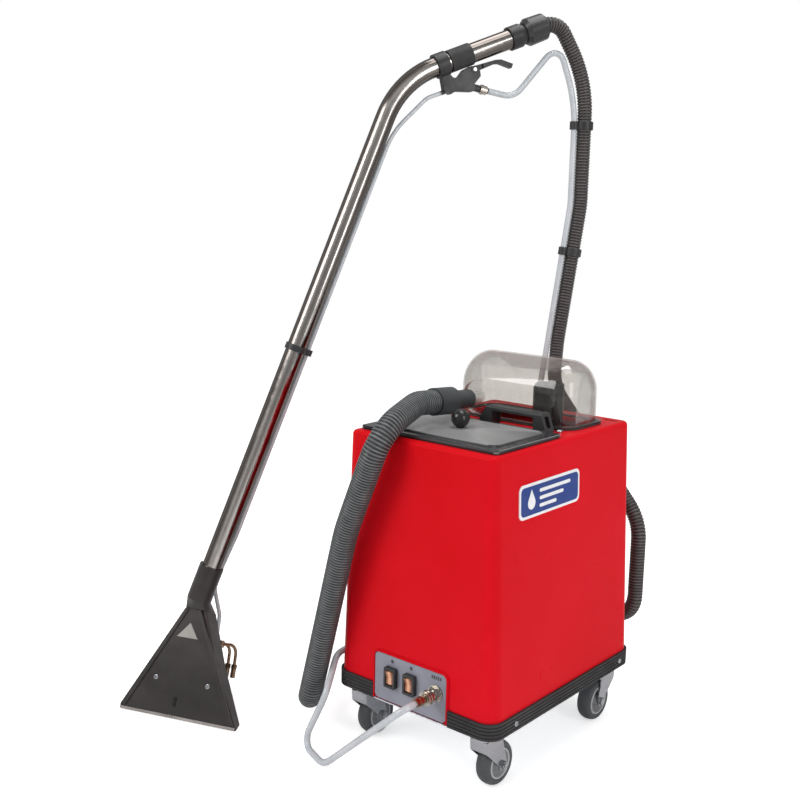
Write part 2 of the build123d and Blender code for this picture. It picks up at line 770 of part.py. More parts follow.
def make_vacuum_motor():
    """Suction motor under the recovery tank: can, fan housing and top inlet; the fan turns inside."""
    fan_low, fan_high = 206.0, 268.0
    with BuildPart() as motor:
        with Locations((cage_x, duct_y, bay_floor)):
            Cylinder(50, fan_low - bay_floor, align=standing)
        with Locations((cage_x, duct_y, fan_low)):
            Cylinder(motor_radius, fan_high - fan_low, align=standing)
        fillet(motor.edges().group_by(Axis.Z)[-1], 8)
        with Locations((cage_x, duct_y, fan_high)):
            Cylinder(20, 10, align=standing)
        with Locations((cage_x, duct_y, fan_low + 4)):
            Cylinder(motor_radius - 4, fan_high - fan_low - 8, align=standing, mode=Mode.SUBTRACT)
        with Locations((cage_x, duct_y, bay_floor + 8)):
            Cylinder(44, fan_low - bay_floor - 16, align=standing, mode=Mode.SUBTRACT)
        with Locations((cage_x, duct_y, fan_low - 12)):
            Cylinder(4 + running_gap, 20, align=standing, mode=Mode.SUBTRACT)
        with Locations((cage_x, duct_y, fan_high - 6)):
            Cylinder(14, 20, align=standing, mode=Mode.SUBTRACT)
        # exhaust windows round the fan housing
        for i in range(8):
            angle = radians(45 * i)
            window = Plane(
                origin=(cage_x + 54 * cos(angle), duct_y + 54 * sin(angle), fan_low + 12),
                x_dir=(-sin(angle), cos(angle), 0), z_dir=(cos(angle), sin(angle), 0))
            with BuildSketch(window):
                SlotOverall(24, 8)
            extrude(amount=30, mode=Mode.SUBTRACT)
    save(motor, "vacuum_motor")

    with BuildPart() as rotor:
        with Locations((cage_x, duct_y, bay_floor + 14)):
            Cylinder(34, 60, align=standing)
        with Locations((cage_x, duct_y, bay_floor + 14)):
            Cylinder(4, fan_low + 20 - bay_floor - 14, align=standing)
        with Locations((cage_x, duct_y, fan_low + 16)):
            Cylinder(58, 4, align=standing)
        for i in range(9):
            angle = radians(40 * i)
            blade = Plane(
                origin=(cage_x + 34 * cos(angle), duct_y + 34 * sin(angle), fan_low + 19),
                x_dir=(cos(angle + 0.6), sin(angle + 0.6), 0), z_dir=(0, 0, 1))
            with BuildSketch(blade):
                Rectangle(38, 2)
            extrude(amount=22)
    save(rotor, "fan_rotor")

    with BuildPart() as sleeve:
        with BuildSketch(Plane.XY.offset(fan_high + 0.2)):
            with Locations((cage_x, duct_y)):
                Circle(25)
                Circle(20.2, mode=Mode.SUBTRACT)
        extrude(amount=12)
        with BuildSketch(Plane.XY.offset(fan_high + 12)):
            with Locations((cage_x, duct_y)):
                Circle(25)
                Circle(duct_diameter / 2 + 0.2, mode=Mode.SUBTRACT)
        extrude(amount=bay_top - fan_high - 12.5)
    save(sleeve, "suction_sleeve")


def make_pump():
    """Diaphragm pump on the base plate, with its intake from the fresh tank and its outlet pipe."""
    with BuildPart() as pump:
        with Locations((pump_x, pump_y + 34, bay_floor)):
            Box(70, 26, 5, align=standing)
        with Locations((pump_x, pump_y - 34, bay_floor)):
            Box(70, 26, 5, align=standing)
        with BuildSketch(Plane(origin=(pump_x, pump_y - 55, 148), z_dir=(0, 1, 0))):
            Circle(32)
        extrude(amount=80)
        with Locations((pump_x, pump_y + 36, 148)):
            Box(62, 24, 66)
        with Locations((pump_x, pump_y, bay_floor + 4)):
            Box(24, 88, 14, align=standing)
        with Locations((pump_x, pump_y, 175)):
            Cylinder(10, 18, align=standing)
        with Locations((pump_x, pump_y, 185)):
            Cylinder(tube_radius + 0.1, 20, align=standing, mode=Mode.SUBTRACT)
    save(pump, "water_pump")

    strainer_height = 34.0
    outlet_start = (pump_x + 31.1, pump_y + 36, coupling_z)
    outlet_end = (coupling_x, panel_face + 14.1, coupling_z)
    with BuildPart() as intake:
        with BuildSketch(Plane.XY.offset(185.2)):
            with Locations((pump_x, pump_y)):
                Circle(tube_radius)
                Circle(tube_radius - 2, mode=Mode.SUBTRACT)
        extrude(amount=tank_floor + 4 - 185.2)
        with BuildSketch(Plane.XY.offset(tank_floor + 0.2)):
            with Locations((pump_x, pump_y)):
                Circle(12)
                Circle(tube_radius - 2, mode=Mode.SUBTRACT)
        extrude(amount=strainer_height)
        with Locations((pump_x, pump_y, tank_floor + strainer_height)):
            Cylinder(12, 3, align=standing)
    save(intake, "tank_strainer")

    outlet_corner = (coupling_x, pump_y + 36, coupling_z)
    outlet = swept_tube([outlet_start, outlet_corner, outlet_end], [40], tube_radius, tube_radius - 2)
    save(outlet, "pump_outlet_pipe")


def make_power_inlet():
    """Appliance inlet on the back, for a detachable mains lead."""
    y = half_length + 0.5
    with BuildPart() as socket:
        with BuildSketch(Plane.XZ.offset(-y - 3)):
            with Locations((inlet_socket_x, inlet_socket_z)):
                RectangleRounded(inlet_socket_width + 16, inlet_socket_height + 9, 4)
        extrude(amount=3)
        with BuildSketch(Plane.XZ.offset(-y)):
            with Locations((inlet_socket_x, inlet_socket_z)):
                Rectangle(inlet_socket_width, inlet_socket_height)
        extrude(amount=26)
        with BuildSketch(Plane.XZ.offset(-y - 3)):
            with Locations((inlet_socket_x, inlet_socket_z)):
                RectangleRounded(inlet_socket_width - 12, inlet_socket_height - 9, 4)
        extrude(amount=22, mode=Mode.SUBTRACT)
        with BuildSketch(Plane.XZ.offset(-y + 19.5)):
            with Locations((inlet_socket_x, inlet_socket_z)):
                with Locations((-9, -2), (0, 3), (9, -2)):
                    Rectangle(2.2, 6)
        extrude(amount=-16)
    save(socket, "power_inlet")


# ---------------------------------------------------------------- casters


def make_caster_plates():
    """Four top plates, each with its upper race and king pin."""
    with BuildPart() as plates:
        for x, y in caster_centres:
            with BuildSketch(Plane.XY.offset(caster_plate_z)):
                with Locations((x, y)):
                    RectangleRounded(62, 62, 5)
                    with GridLocations(caster_bolt_pitch, caster_bolt_pitch, 2, 2):
                        Circle(3.2, mode=Mode.SUBTRACT)
            extrude(amount=caster_plate_thickness)
            centre = Plane(origin=(x, y, 0))
            with BuildSketch(centre.offset(race_bottom)):
                Circle(20)
            extrude(amount=caster_plate_z - race_bottom, taper=-12)
            with BuildSketch(centre.offset(crown_top - crown_thickness - 4)):
                Circle(6)
            extrude(amount=race_bottom - crown_top + crown_thickness + 4)
            with BuildSketch(centre.offset(crown_top - crown_thickness - 4)):
                Circle(9)
            extrude(amount=3.6)
    save(plates, "caster_plates")


def make_caster(name, x, y, trail_sign):
    """Pressed fork with its axle bolt and nut, and the wheel that turns on the axle."""
    centre = Plane(origin=(x, y, 0), x_dir=(trail_sign, 0, 0), z_dir=(0, 0, 1))
    axle_y = caster_trail
    axle_z = wheel_diameter / 2
    crown_low = crown_top - crown_thickness
    side = Plane(origin=centre.from_local_coords((0, 0, 0)), x_dir=centre.y_dir, z_dir=centre.x_dir)
    with BuildPart() as fork:
        with BuildSketch(centre.offset(crown_low)):
            Circle(24)
            with Locations((0, 4)):
                Rectangle(2 * (leg_inner + leg_thickness), 36)
        extrude(amount=crown_thickness)
        # two legs that taper to the axle
        with BuildSketch(side.offset(-leg_inner - leg_thickness)):
            with BuildLine():
                Polyline((-21, crown_low + 1), (22, crown_low + 1), (axle_y + 11, axle_z + 4),
                         (axle_y + 6, axle_z - 9), (axle_y - 6, axle_z - 9), (axle_y - 12, axle_z + 2),
                         (-19, 74), (-21, crown_low + 1))
            make_face()
            fillet(vertices().group_by(Axis.Z)[0], 4)
        extrude(amount=2 * (leg_inner + leg_thickness))
        with BuildSketch(side.offset(-leg_inner)):
            with BuildLine():
                Polyline((-18.6, crown_low), (60, crown_low), (60, 0), (-18.6, 0), (-18.6, crown_low))
            make_face()
        extrude(amount=2 * leg_inner, mode=Mode.SUBTRACT)
        with BuildSketch(centre.offset(crown_low - 1)):
            Circle(6 + running_gap)
        extrude(amount=crown_thickness + 2, mode=Mode.SUBTRACT)
        with BuildSketch(side.offset(-30)):
            with Locations((axle_y, axle_z)):
                Circle(axle_diameter / 2 + running_gap)
        extrude(amount=60, mode=Mode.SUBTRACT)
    reach = leg_inner + leg_thickness
    with BuildPart() as axle:
        with BuildSketch(side.offset(-reach)):
            with Locations((axle_y, axle_z)):
                Circle(axle_diameter / 2)
        extrude(amount=2 * reach + 7)
        with BuildSketch(side.offset(-reach - 4.5)):
            with Locations((axle_y, axle_z)):
                RegularPolygon(7.2, 6)
        extrude(amount=4.5)
    with BuildPart() as nut:
        with BuildSketch(side.offset(reach + 0.1)):
            with Locations((axle_y, axle_z)):
                RegularPolygon(7.2, 6)
                Circle(axle_diameter / 2 + running_gap, mode=Mode.SUBTRACT)
        extrude(amount=5.5)
    with BuildPart() as fork_set:
        add(fork.part)
        add(axle.part)
        add(nut.part)
    save(fork_set, f"caster_fork_{name}")

    radius = wheel_diameter / 2
    half_tread = tread_width / 2
    section = Plane(origin=side.from_local_coords((axle_y, axle_z, 0)), x_dir=side.z_dir, z_dir=side.x_dir)
    with BuildPart() as wheel:
        with BuildSketch(section):
            with BuildLine():
                Polyline((-half_tread - 1, 4 + running_gap), (-half_tread - 1, 10), (-6, 12), (-6, 25),
                         (-half_tread + 1, 27.5), (-half_tread, 30), (-half_tread + 0.5, radius - 5),
                         (-half_tread + 5, radius - 0.6))
                ThreePointArc((-half_tread + 5, radius - 0.6), (0, radius), (half_tread - 5, radius - 0.6))
                Polyline((half_tread - 5, radius - 0.6), (half_tread - 0.5, radius - 5), (half_tread, 30),
                         (half_tread - 1, 27.5), (6, 25), (6, 12), (half_tread + 1, 10),
                         (half_tread + 1, 4 + running_gap), (-half_tread - 1, 4 + running_gap))
            make_face()
        revolve(axis=Axis(section.origin, section.x_dir))
    save(wheel, f"caster_wheel_{name}")


# ---------------------------------------------------------------- wand and floor tool

h = (cos(radians(wand_azimuth)), sin(radians(wand_azimuth)))
wand_plane = Plane(origin=(*wand_foot, 0), x_dir=(h[0], h[1], 0), z_dir=(h[1], -h[0], 0))
lower_dir = (sin(radians(wand_lean)), cos(radians(wand_lean)))
grip_dir = (cos(radians(wand_lean)), sin(radians(wand_lean)))
bend_corner = (lower_dir[0] * bend_distance, neck_height + lower_dir[1] * bend_distance)
grip_base = (grip_start, bend_corner[1] + (grip_start - bend_corner[0]) * tan(radians(wand_lean)))


def wand_point(a, z, off=0.0):
    """Point of the wand plane: a along it, z up, off out of it."""
    return wand_plane.from_local_coords((a, z, off))


def lower_point(distance):
    """Point on the lower tube's axis, measured up from the tool's neck."""
    return (lower_dir[0] * distance, neck_height + lower_dir[1] * distance)


def grip_point(along, down=0.0):
    """Point near the grip's axis: along it, and square to it downward."""
    return (grip_base[0] + grip_dir[0] * along + grip_dir[1] * down,
            grip_base[1] + grip_dir[1] * along - grip_dir[0] * down)


def wand_axis_plane(point, direction):
    """Plane square to a direction that lies in the wand plane."""
    normal = Vector(direction[0] * h[0], direction[0] * h[1], direction[1])
    return Plane(origin=wand_point(*point), x_dir=wand_plane.z_dir, z_dir=normal)


def grip_axis_plane(along, down=0.0):
    """Plane square to the grip's axis."""
    return wand_axis_plane(grip_point(along, down), grip_dir)


def ring(plane, length, outer, inner):
    """A plain ring or sleeve on a plane."""
    with BuildPart() as piece:
        with BuildSketch(plane):
            Circle(outer)
            Circle(inner, mode=Mode.SUBTRACT)
        extrude(amount=length)
    return piece


def make_wand_tube():
    """Polished steel tube: straight lower part, one bend and the straight grip part."""
    foot = lower_point(28)
    tip = grip_point(tube_end)
    with BuildPart() as tube:
        with BuildLine(wand_plane) as path:
            FilletPolyline(foot, bend_corner, tip, radius=wand_bend_radius)
        with BuildSketch(wand_axis_plane(foot, lower_dir)):
            Circle(wand_radius)
            Circle(wand_radius - 1.5, mode=Mode.SUBTRACT)
        sweep(path=path.line)
    save(tube, "wand_tube")


def make_wand_fittings():
    """Clamp rings on the tube, the rubber grip sleeve, and the swivelling hose cuff."""
    grip_sleeve = ring(grip_axis_plane(17), 48, wand_radius + 2.6, wand_radius + 0.1)
    save(grip_sleeve, "grip_sleeve")

    middle = lower_point(525)
    lower_ring = ring(wand_axis_plane(middle, lower_dir), 12, wand_radius + 3, wand_radius + 0.1)
    end_ring = ring(grip_axis_plane(tube_end - 24), 24, wand_radius + 4, wand_radius + 0.1)
    with BuildPart() as clamps:
        add(lower_ring.part)
        add(end_ring.part)
        with BuildSketch(wand_axis_plane(middle, lower_dir)):
            with Locations((0, spray_offset)):
                Circle(9.5)
                Circle(spray_radius + 0.4, mode=Mode.SUBTRACT)
            Circle(wand_radius + 1, mode=Mode.SUBTRACT)
        extrude(amount=12)
    save(clamps, "wand_clamps")

    with BuildPart() as cuff:
        for low, high, r_low, r_high in ((tube_end + 0.1, tube_end + 10, 20.5, 18),
                                         (tube_end + 10, tube_end + 18, 21, 27),
                                         (tube_end + 18, tube_end + 54, 27, 26),
                                         (tube_end + 54, tube_end + 62, 26, 18)):
            with BuildSketch(grip_axis_plane(low)):
                Circle(r_low)
            with BuildSketch(grip_axis_plane(high)):
                Circle(r_high)
            loft()
        with BuildSketch(grip_axis_plane(tube_end - 9)):
            Circle(14)
        extrude(amount=90, mode=Mode.SUBTRACT)
    save(cuff, "wand_cuff")


def make_trigger_valve():
    """Spray valve under the grip: clamp, arm, valve body, trigger lever on its pin, and quick coupling."""
    thick = 16.0
    with BuildPart() as valve:
        with BuildSketch(grip_axis_plane(-12)):
            Circle(wand_radius + 4.5)
            Circle(wand_radius + 0.1, mode=Mode.SUBTRACT)
        extrude(amount=24)
        with BuildSketch(wand_plane.offset(-thick / 2)):
            with BuildLine():
                Polyline(grip_point(-8, 22), grip_point(10, 22), grip_point(14, 30), grip_point(24, 34),
                         grip_point(40, 24), grip_point(58, 22), grip_point(72, 36), grip_point(70, 46),
                         grip_point(52, 56), grip_point(52, 66), grip_point(42, 68), grip_point(10, 56),
                         grip_point(-2, 58), grip_point(-12, 48), grip_point(-8, 22))
            make_face()
        extrude(amount=thick)
        with BuildSketch(wand_plane.offset(-9)):
            with Locations(grip_point(62, 30)):
                Circle(7)
        extrude(amount=18)
        with BuildSketch(wand_plane.offset(-3.2)):
            with BuildLine():
                Polyline(grip_point(52, 19), grip_point(52, 34), grip_point(60, 42), grip_point(84, 42),
                         grip_point(84, 19), grip_point(52, 19))
            make_face()
        extrude(amount=6.4, mode=Mode.SUBTRACT)
        with BuildSketch(wand_plane.offset(-12)):
            with Locations(grip_point(62, 30)):
                Circle(2.1)
        extrude(amount=24, mode=Mode.SUBTRACT)
        with BuildSketch(wand_axis_plane(grip_point(50, 61), coupling_dir)):
            Circle(7)
        extrude(amount=12)
        with BuildSketch(wand_axis_plane(grip_point(50, 61), coupling_dir).offset(12)):
            Circle(5.5)
        extrude(amount=20)
        with BuildSketch(wand_axis_plane(grip_point(-10, 50), outlet_dir)):
            Circle(4.2)
        extrude(amount=8)
    save(valve, "valve_body")

    with BuildPart() as lever:
        with BuildSketch(wand_plane.offset(-3)):
            with BuildLine():
                Polyline(grip_point(56, 26), grip_point(62, 23.5), grip_point(110, 27), grip_point(122, 30),
                         grip_point(144, 46), grip_point(138, 53), grip_point(117, 37), grip_point(107, 34),
                         grip_point(64, 35.5), grip_point(56, 33), grip_point(56, 26))
            make_face()
        extrude(amount=6)
        with BuildSketch(wand_plane.offset(-7)):
            with BuildLine():
                Polyline(grip_point(82, 25), grip_point(110, 27), grip_point(122, 30), grip_point(144, 46),
                         grip_point(138, 53), grip_point(117, 37), grip_point(107, 34), grip_point(82, 34),
                         grip_point(82, 25))
            make_face()
        extrude(amount=14)
        with BuildSketch(wand_plane.offset(-8)):
            with Locations(grip_point(62, 30)):
                Circle(2.0 + running_gap)
        extrude(amount=16, mode=Mode.SUBTRACT)
    save(lever, "trigger_lever")

    with BuildPart() as pin:
        with BuildSketch(wand_plane.offset(-9.5)):
            with Locations(grip_point(62, 30)):
                Circle(2.0)
        extrude(amount=19)
        with BuildSketch(wand_plane.offset(9.2)):
            with Locations(grip_point(62, 30)):
                Circle(3.6)
        extrude(amount=1.5)
    save(pin, "lever_pin")

    start = wand_axis_plane(grip_point(50, 61), coupling_dir)
    with BuildPart() as sleeve:
        with BuildSketch(start.offset(15)):
            Circle(8.5)
            Circle(5.5 + running_gap, mode=Mode.SUBTRACT)
        extrude(amount=14)
        with BuildSketch(start.offset(18)):
            Circle(9.5)
            Circle(8.4, mode=Mode.SUBTRACT)
        extrude(amount=3)
    save(sleeve, "valve_coupling_sleeve")


coupling_dir = (0.985, -0.174)   # quick coupling's axis in the wand plane
outlet_dir = (-0.94, -0.34)     # spray outlet's axis
lip_dir = (cos(radians(lip_azimuth)), sin(radians(lip_azimuth)), 0)
lip_rear = (-lip_dir[1], lip_dir[0], 0)
lean = radians(tool_lean)
# plane of the tool's front plate: x along the lip, y up the plate, normal forward
tool_plane = Plane(
    origin=(*lip_middle, 0),
    x_dir=lip_dir,
    z_dir=(-lip_rear[0] * cos(lean), -lip_rear[1] * cos(lean), sin(lean)),
)


def tool_section(height, width, front, back):
    """Rectangle square to the plate at a height up the plate, from front to back behind it."""
    centre = tool_plane.from_local_coords((0, height, -(front + back) / 2))
    plane = Plane(origin=centre, x_dir=tool_plane.x_dir, z_dir=tool_plane.y_dir)
    return plane, width, back - front


def make_floor_tool():
    """Vacuum head: wide flat mouth, front plate, steel lip, screws and the rear spray pipe."""
    neck_plane = wand_axis_plane(lower_point(-3), lower_dir)
    with BuildPart() as head:
        for low, high in ((tool_section(2, lip_length - 2, 4, 30), tool_section(110, 126, 4, 48)),
                          (tool_section(110, 126, 4, 48), tool_section(206, 48, 4, 46))):
            with BuildSketch(low[0]):
                RectangleRounded(low[1], low[2], 4)
            with BuildSketch(high[0]):
                RectangleRounded(high[1], high[2], 4)
            loft()
        with BuildSketch(tool_section(206, 48, 4, 46)[0]):
            RectangleRounded(48, 42, 4)
        with BuildSketch(neck_plane.offset(8)):
            Circle(wand_radius + 5)
        loft()
        with BuildSketch(neck_plane.offset(8)):
            Circle(wand_radius + 5)
        extrude(amount=socket_length - 5)
        # bore for the wand tube
        with BuildSketch(neck_plane.offset(31)):
            Circle(wand_radius + 0.1)
        extrude(amount=socket_length, mode=Mode.SUBTRACT)
        # air passage from the mouth to the neck
        for low, high in ((tool_section(-8, lip_length - 14, 9, 25), tool_section(110, 112, 9, 42)),
                          (tool_section(110, 112, 9, 42), tool_section(206, 36, 10, 40))):
            with BuildSketch(low[0]):
                Rectangle(low[1], low[2])
            with BuildSketch(high[0]):
                Rectangle(high[1], high[2])
            loft(mode=Mode.SUBTRACT)
        # flat mouth, level with the floor
        with BuildSketch(Plane.XY.offset(mouth_z)):
            with Locations(lip_middle):
                Rectangle(2 * lip_length, 2 * lip_length)
        extrude(amount=-20, mode=Mode.SUBTRACT)
        # seat for the top of the front plate
        with BuildSketch(tool_plane.offset(-3.98)):
            with Locations((-4, 204)):
                Rectangle(60, 17.2)
        extrude(amount=30, mode=Mode.SUBTRACT)
    save(head, "tool_head")

    with BuildPart() as plate:
        with BuildSketch(tool_plane.offset(-3.95)):
            with BuildLine():
                Polyline((-lip_length / 2, 8), (lip_length / 2 - 7, 8), (13, 212), (-22, 212),
                         (-lip_length / 2, 8))
            make_face()
        extrude(amount=3.5)
        with BuildSketch(tool_plane.offset(2)):
            with Locations((-60, 73), (54, 73)):
                Circle(5.5)
        extrude(amount=-4, mode=Mode.SUBTRACT)
        with BuildSketch(tool_plane):
            with Locations((-60, 73), (54, 73)):
                Circle(1.9)
        extrude(amount=-4, mode=Mode.SUBTRACT)
    save(plate, "tool_front_plate")

    with BuildPart() as lip:
        with BuildSketch(tool_plane.offset(-3.9)):
            with Locations((-2, 5.2)):
                Rectangle(lip_length - 4, 9.6 - 4.6)
        extrude(amount=3.6)
    save(lip, "tool_lip")

    screws = []
    for x in (-60, 54):
        spot = tool_plane.from_local_coords((x, 73, -2.0))
        seat = Plane(origin=spot, x_dir=tool_plane.x_dir, z_dir=tool_plane.z_dir)
        screws.append(domed_screw(seat, 1.8, 1.8, 5.0, 2.6))
    with BuildPart() as tool_screws:
        add(screws)
    save(tool_screws, "tool_screws")

    block_x, block_y, block_n = spray_inlet
    spray = []
    for x in jet_x:
        points = [(x - 15, block_y, block_n), (x, block_y, -92), (x, 112, -95)]
        spray.append(swept_tube([tool_plane.from_local_coords(p) for p in points], [20], 3.2).part)
    with BuildPart() as jets:
        add(spray)
        with BuildSketch(tool_plane.offset(block_n + 4)):
            with Locations((block_x, block_y)):
                RectangleRounded(32, 14, 2)
        extrude(amount=-12)
        for x in jet_x:
            nozzle = Plane(origin=tool_plane.from_local_coords((x, 113, -95)), x_dir=tool_plane.x_dir,
                           z_dir=-tool_plane.y_dir)
            with BuildSketch(nozzle):
                RegularPolygon(6.4, 6)
            extrude(amount=8)
            with BuildSketch(nozzle.offset(8)):
                Circle(5)
            extrude(amount=18)
    save(jets, "spray_jets")


# ---------------------------------------------------------------- hoses

cuff_length = 106.0
cuff_neck = 44.0
column_a = 800.0           # the hanging hoses, along the wand plane
column_top = 1190.0
hose_crest = 1232.0        # where the falling hose turns upright
column_elbow = wand_point(column_a, 985.0)
column_foot = (-99.0, 352.0, 700.0)
# the floor part of the hoses meets the wand part here
hose_joint = tuple(between(column_foot, column_elbow, 0.7))
beside = 23.0              # between the vacuum hose and the solution tube that runs with it
spray_radius = 4.0
spray_offset = 24.0        # spray tube's axis from the wand's
cuff_rise = radians(4)      # the cuff and first hose point this much upward
cuff_plane = Plane(
    origin=(inlet_x, 4.5, inlet_z), x_dir=(1, 0, 0), z_dir=(0, -cos(cuff_rise), sin(cuff_rise)))


def make_hoses():
    """Vacuum hose from the dome round the machine to the wand, in two sizes with a reducer between."""
    droop = cuff_plane.offset(cuff_length + 46).origin
    shoulder = Vector(-46, -264, 609)
    cuff_end = cuff_plane.offset(cuff_length + 0.1).origin
    dome_hose = swept_tube([cuff_end, droop, between(droop, shoulder, 0.25)], [60],
                           hose_radius, hose_radius - hose_wall)
    save(dome_hose, "dome_hose")

    bends = {
        tuple(shoulder): 62, (-125, -264, 418): 300, (-222, -258, 60): 55, (-306, -158, 60): 150,
        (-380, -10, 225): 120, (-392, 130, 238): 130, (-290, 305, 250): 90,
    }
    reducer_start = (-140, 316, 207)
    vacuum_hose = swept_tube([between(droop, shoulder, 0.251), *bends, reducer_start], list(bends.values()),
                             hose_radius, hose_radius - hose_wall)
    save(vacuum_hose, "vacuum_hose")

    reducer_dir = Vector(*reducer_start) - Vector(-290, 305, 250)
    reducer_plane = Plane(origin=reducer_start, z_dir=reducer_dir)
    reducer = turned(reducer_plane, [(0.1, 25), (30, 21), (44, 17.5), (66, 0)], bore=12)
    save(reducer, "hose_reducer")

    bends = {
        tuple(reducer_plane.offset(140).origin): 100, (150, 288, 170): 50, (150, 288, 375): 90,
        (-95, 338, 610): 90, column_foot: 300,
    }
    rear_hose = swept_tube([reducer_plane.offset(66.1).origin, *bends, hose_joint], list(bends.values()),
                           thin_hose_radius, thin_hose_radius - 2)
    save(rear_hose, "rear_hose")

    wand_hose = swept_tube(
        [wand_point(*grip_point(tube_end + 62.1)), wand_point(*grip_point(tube_end + 90)),
         wand_point(column_a, hose_crest), column_elbow, between(hose_joint, column_elbow, 0.002)],
        [32, 240, 200], thin_hose_radius, thin_hose_radius - 2)
    save(wand_hose, "wand_hose")


def make_solution_tubes():
    """Clear pressure tube from the panel to the trigger valve, the wand's spray tube, and the clips."""
    step = Vector(-beside * h[0], -beside * h[1], 0)
    joint = Vector(*hose_joint) + step
    elbow = column_elbow + step
    foot = Vector(*column_foot) + step
    bends = {
        (coupling_x, -322, coupling_z): 24, (-112, -330, 7): 45, (-194, -300, 8): 22,
        (-145, -292, 114): 28, (-184, -222, 160): 40, (-186, 240, 200): 60,
        (-150, 325, 395): 120, tuple(foot): 200,
    }
    lower = swept_tube([(coupling_x, panel_face - 56.6, coupling_z), *bends, joint], list(bends.values()),
                       tube_radius, tube_radius - 2)
    save(lower, "solution_hose")

    start = wand_axis_plane(grip_point(50, 61), coupling_dir)
    upper = swept_tube(
        [start.offset(32.1).origin, wand_point(639, 1192.6), wand_point(733, 1303),
         wand_point(column_a - beside, column_top), elbow, between(joint, elbow, 0.002)],
        [40, 21, 300, 200], tube_radius, tube_radius - 2)
    save(upper, "wand_solution_hose")

    side = (lower_dir[1] * spray_offset, -lower_dir[0] * spray_offset)
    high = lower_point(985)
    low = lower_point(150)
    outlet = wand_axis_plane(grip_point(-10, 50), outlet_dir)
    spray_tube = swept_tube(
        [outlet.offset(8.1).origin, outlet.offset(38).origin,
         wand_point(high[0] + side[0], high[1] + side[1]), wand_point(low[0] + side[0], low[1] + side[1]),
         *[tool_plane.from_local_coords(p) for p in ((10, 262, -40), (27, 205, -54), (28, 158.1, -54))]],
        [30, 150, 60, 40, 25], spray_radius, spray_radius - 1.5)
    save(spray_tube, "wand_spray_tube")

    for label, centre, tilt in (
        ("lower_hose_clip", between(hose_joint, column_foot, 0.1),
         column_elbow - Vector(*column_foot)),
        ("upper_hose_clip", wand_point(column_a, 1136), Vector(0, 0, 1)),
    ):
        sideways = (h[0], h[1], -(tilt.X * h[0] + tilt.Y * h[1]) / tilt.Z)
        level = Plane(origin=centre, x_dir=sideways, z_dir=tilt)
        with BuildPart() as clip:
            with BuildSketch(level):
                Circle(thin_hose_radius + 3.4)
                with Locations((-beside, 0)):
                    Circle(tube_radius + 3)
                Circle(thin_hose_radius + 0.7, mode=Mode.SUBTRACT)
                with Locations((-beside, 0)):
                    Circle(tube_radius + 0.7, mode=Mode.SUBTRACT)
            extrude(amount=16)
        save(clip, label)


# ---------------------------------------------------------------- build everything

make_body_shell()
make_bumper_strip()
make_base_plate()
make_body_fasteners()
make_control_panel()
make_switch_frames()
make_rocker(switch_x[0], "pump_rocker")
make_rocker(switch_x[1], "vacuum_rocker")
make_coupling()
make_badge_plate()
make_carry_handle()
make_fresh_tank_lid()
make_recovery_dome()
make_standpipe()
make_vacuum_motor()
make_pump()
make_power_inlet()
make_caster_plates()
for caster in casters:
    make_caster(*caster)
make_wand_tube()
make_wand_fittings()
make_trigger_valve()
make_floor_tool()
make_hoses()
make_solution_tubes()
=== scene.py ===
"""Spot extractor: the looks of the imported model, in metres, in the model's own frame."""

import json
import math

import bmesh
import bpy
from mathutils import Matrix, Vector


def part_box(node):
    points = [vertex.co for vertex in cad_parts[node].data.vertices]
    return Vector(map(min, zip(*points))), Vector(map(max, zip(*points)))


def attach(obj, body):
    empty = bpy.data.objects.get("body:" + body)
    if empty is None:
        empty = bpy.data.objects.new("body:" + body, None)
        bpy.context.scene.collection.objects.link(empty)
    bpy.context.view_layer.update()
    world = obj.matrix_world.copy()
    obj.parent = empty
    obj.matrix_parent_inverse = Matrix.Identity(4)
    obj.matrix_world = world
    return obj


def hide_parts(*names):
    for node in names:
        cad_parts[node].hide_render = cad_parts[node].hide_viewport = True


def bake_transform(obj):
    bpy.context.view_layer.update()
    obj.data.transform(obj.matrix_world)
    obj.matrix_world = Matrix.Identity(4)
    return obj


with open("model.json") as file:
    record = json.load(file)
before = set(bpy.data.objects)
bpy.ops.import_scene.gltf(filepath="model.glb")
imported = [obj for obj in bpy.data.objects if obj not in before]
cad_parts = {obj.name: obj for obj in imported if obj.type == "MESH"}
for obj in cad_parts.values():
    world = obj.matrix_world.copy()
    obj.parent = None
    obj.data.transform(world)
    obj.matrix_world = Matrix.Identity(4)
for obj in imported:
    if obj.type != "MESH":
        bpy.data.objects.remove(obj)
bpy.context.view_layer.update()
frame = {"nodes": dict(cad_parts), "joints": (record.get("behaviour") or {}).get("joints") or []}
nodes = frame["nodes"]
MM = 0.001

# Hoses and tubes: outside radius, depth of the valleys, distance from crest to crest
SUCTION_HOSE_RADIUS = 22 * MM
SUCTION_HOSE_DEPTH = 2.6 * MM
SUCTION_HOSE_PITCH = 5.2 * MM
WAND_HOSE_RADIUS = 15 * MM
WAND_HOSE_DEPTH = 2.2 * MM
WAND_HOSE_PITCH = 6.0 * MM
SOLUTION_TUBE_RADIUS = 6 * MM
SPRAY_TUBE_RADIUS = 4 * MM
TUBE_STEP = 5 * MM

# Tracing a swept tube: the cut through it stays this near its middle, and no tube is longer than this
WIDEST_CUT = 34 * MM
LONGEST_HOSE = 4.0

# Casters
WHEEL_HALF_WIDTH = 14 * MM
TREAD_ROUND = 7 * MM
TYRE_THICKNESS = 12.5 * MM

# Badge: width, height and corner radius of the blue field, then the drop and the bars in it
BADGE_FIELD = (176 * MM, 49 * MM, 8 * MM)
DROP_RADIUS = 11 * MM
DROP_PLACE = (-58 * MM, -4 * MM)
DROP_TIP = 19 * MM
BAR_LENGTHS = (96 * MM, 74 * MM, 52 * MM)
BAR_START = -34 * MM
BAR_SPACING = 13 * MM
BAR_HEIGHT = 6 * MM

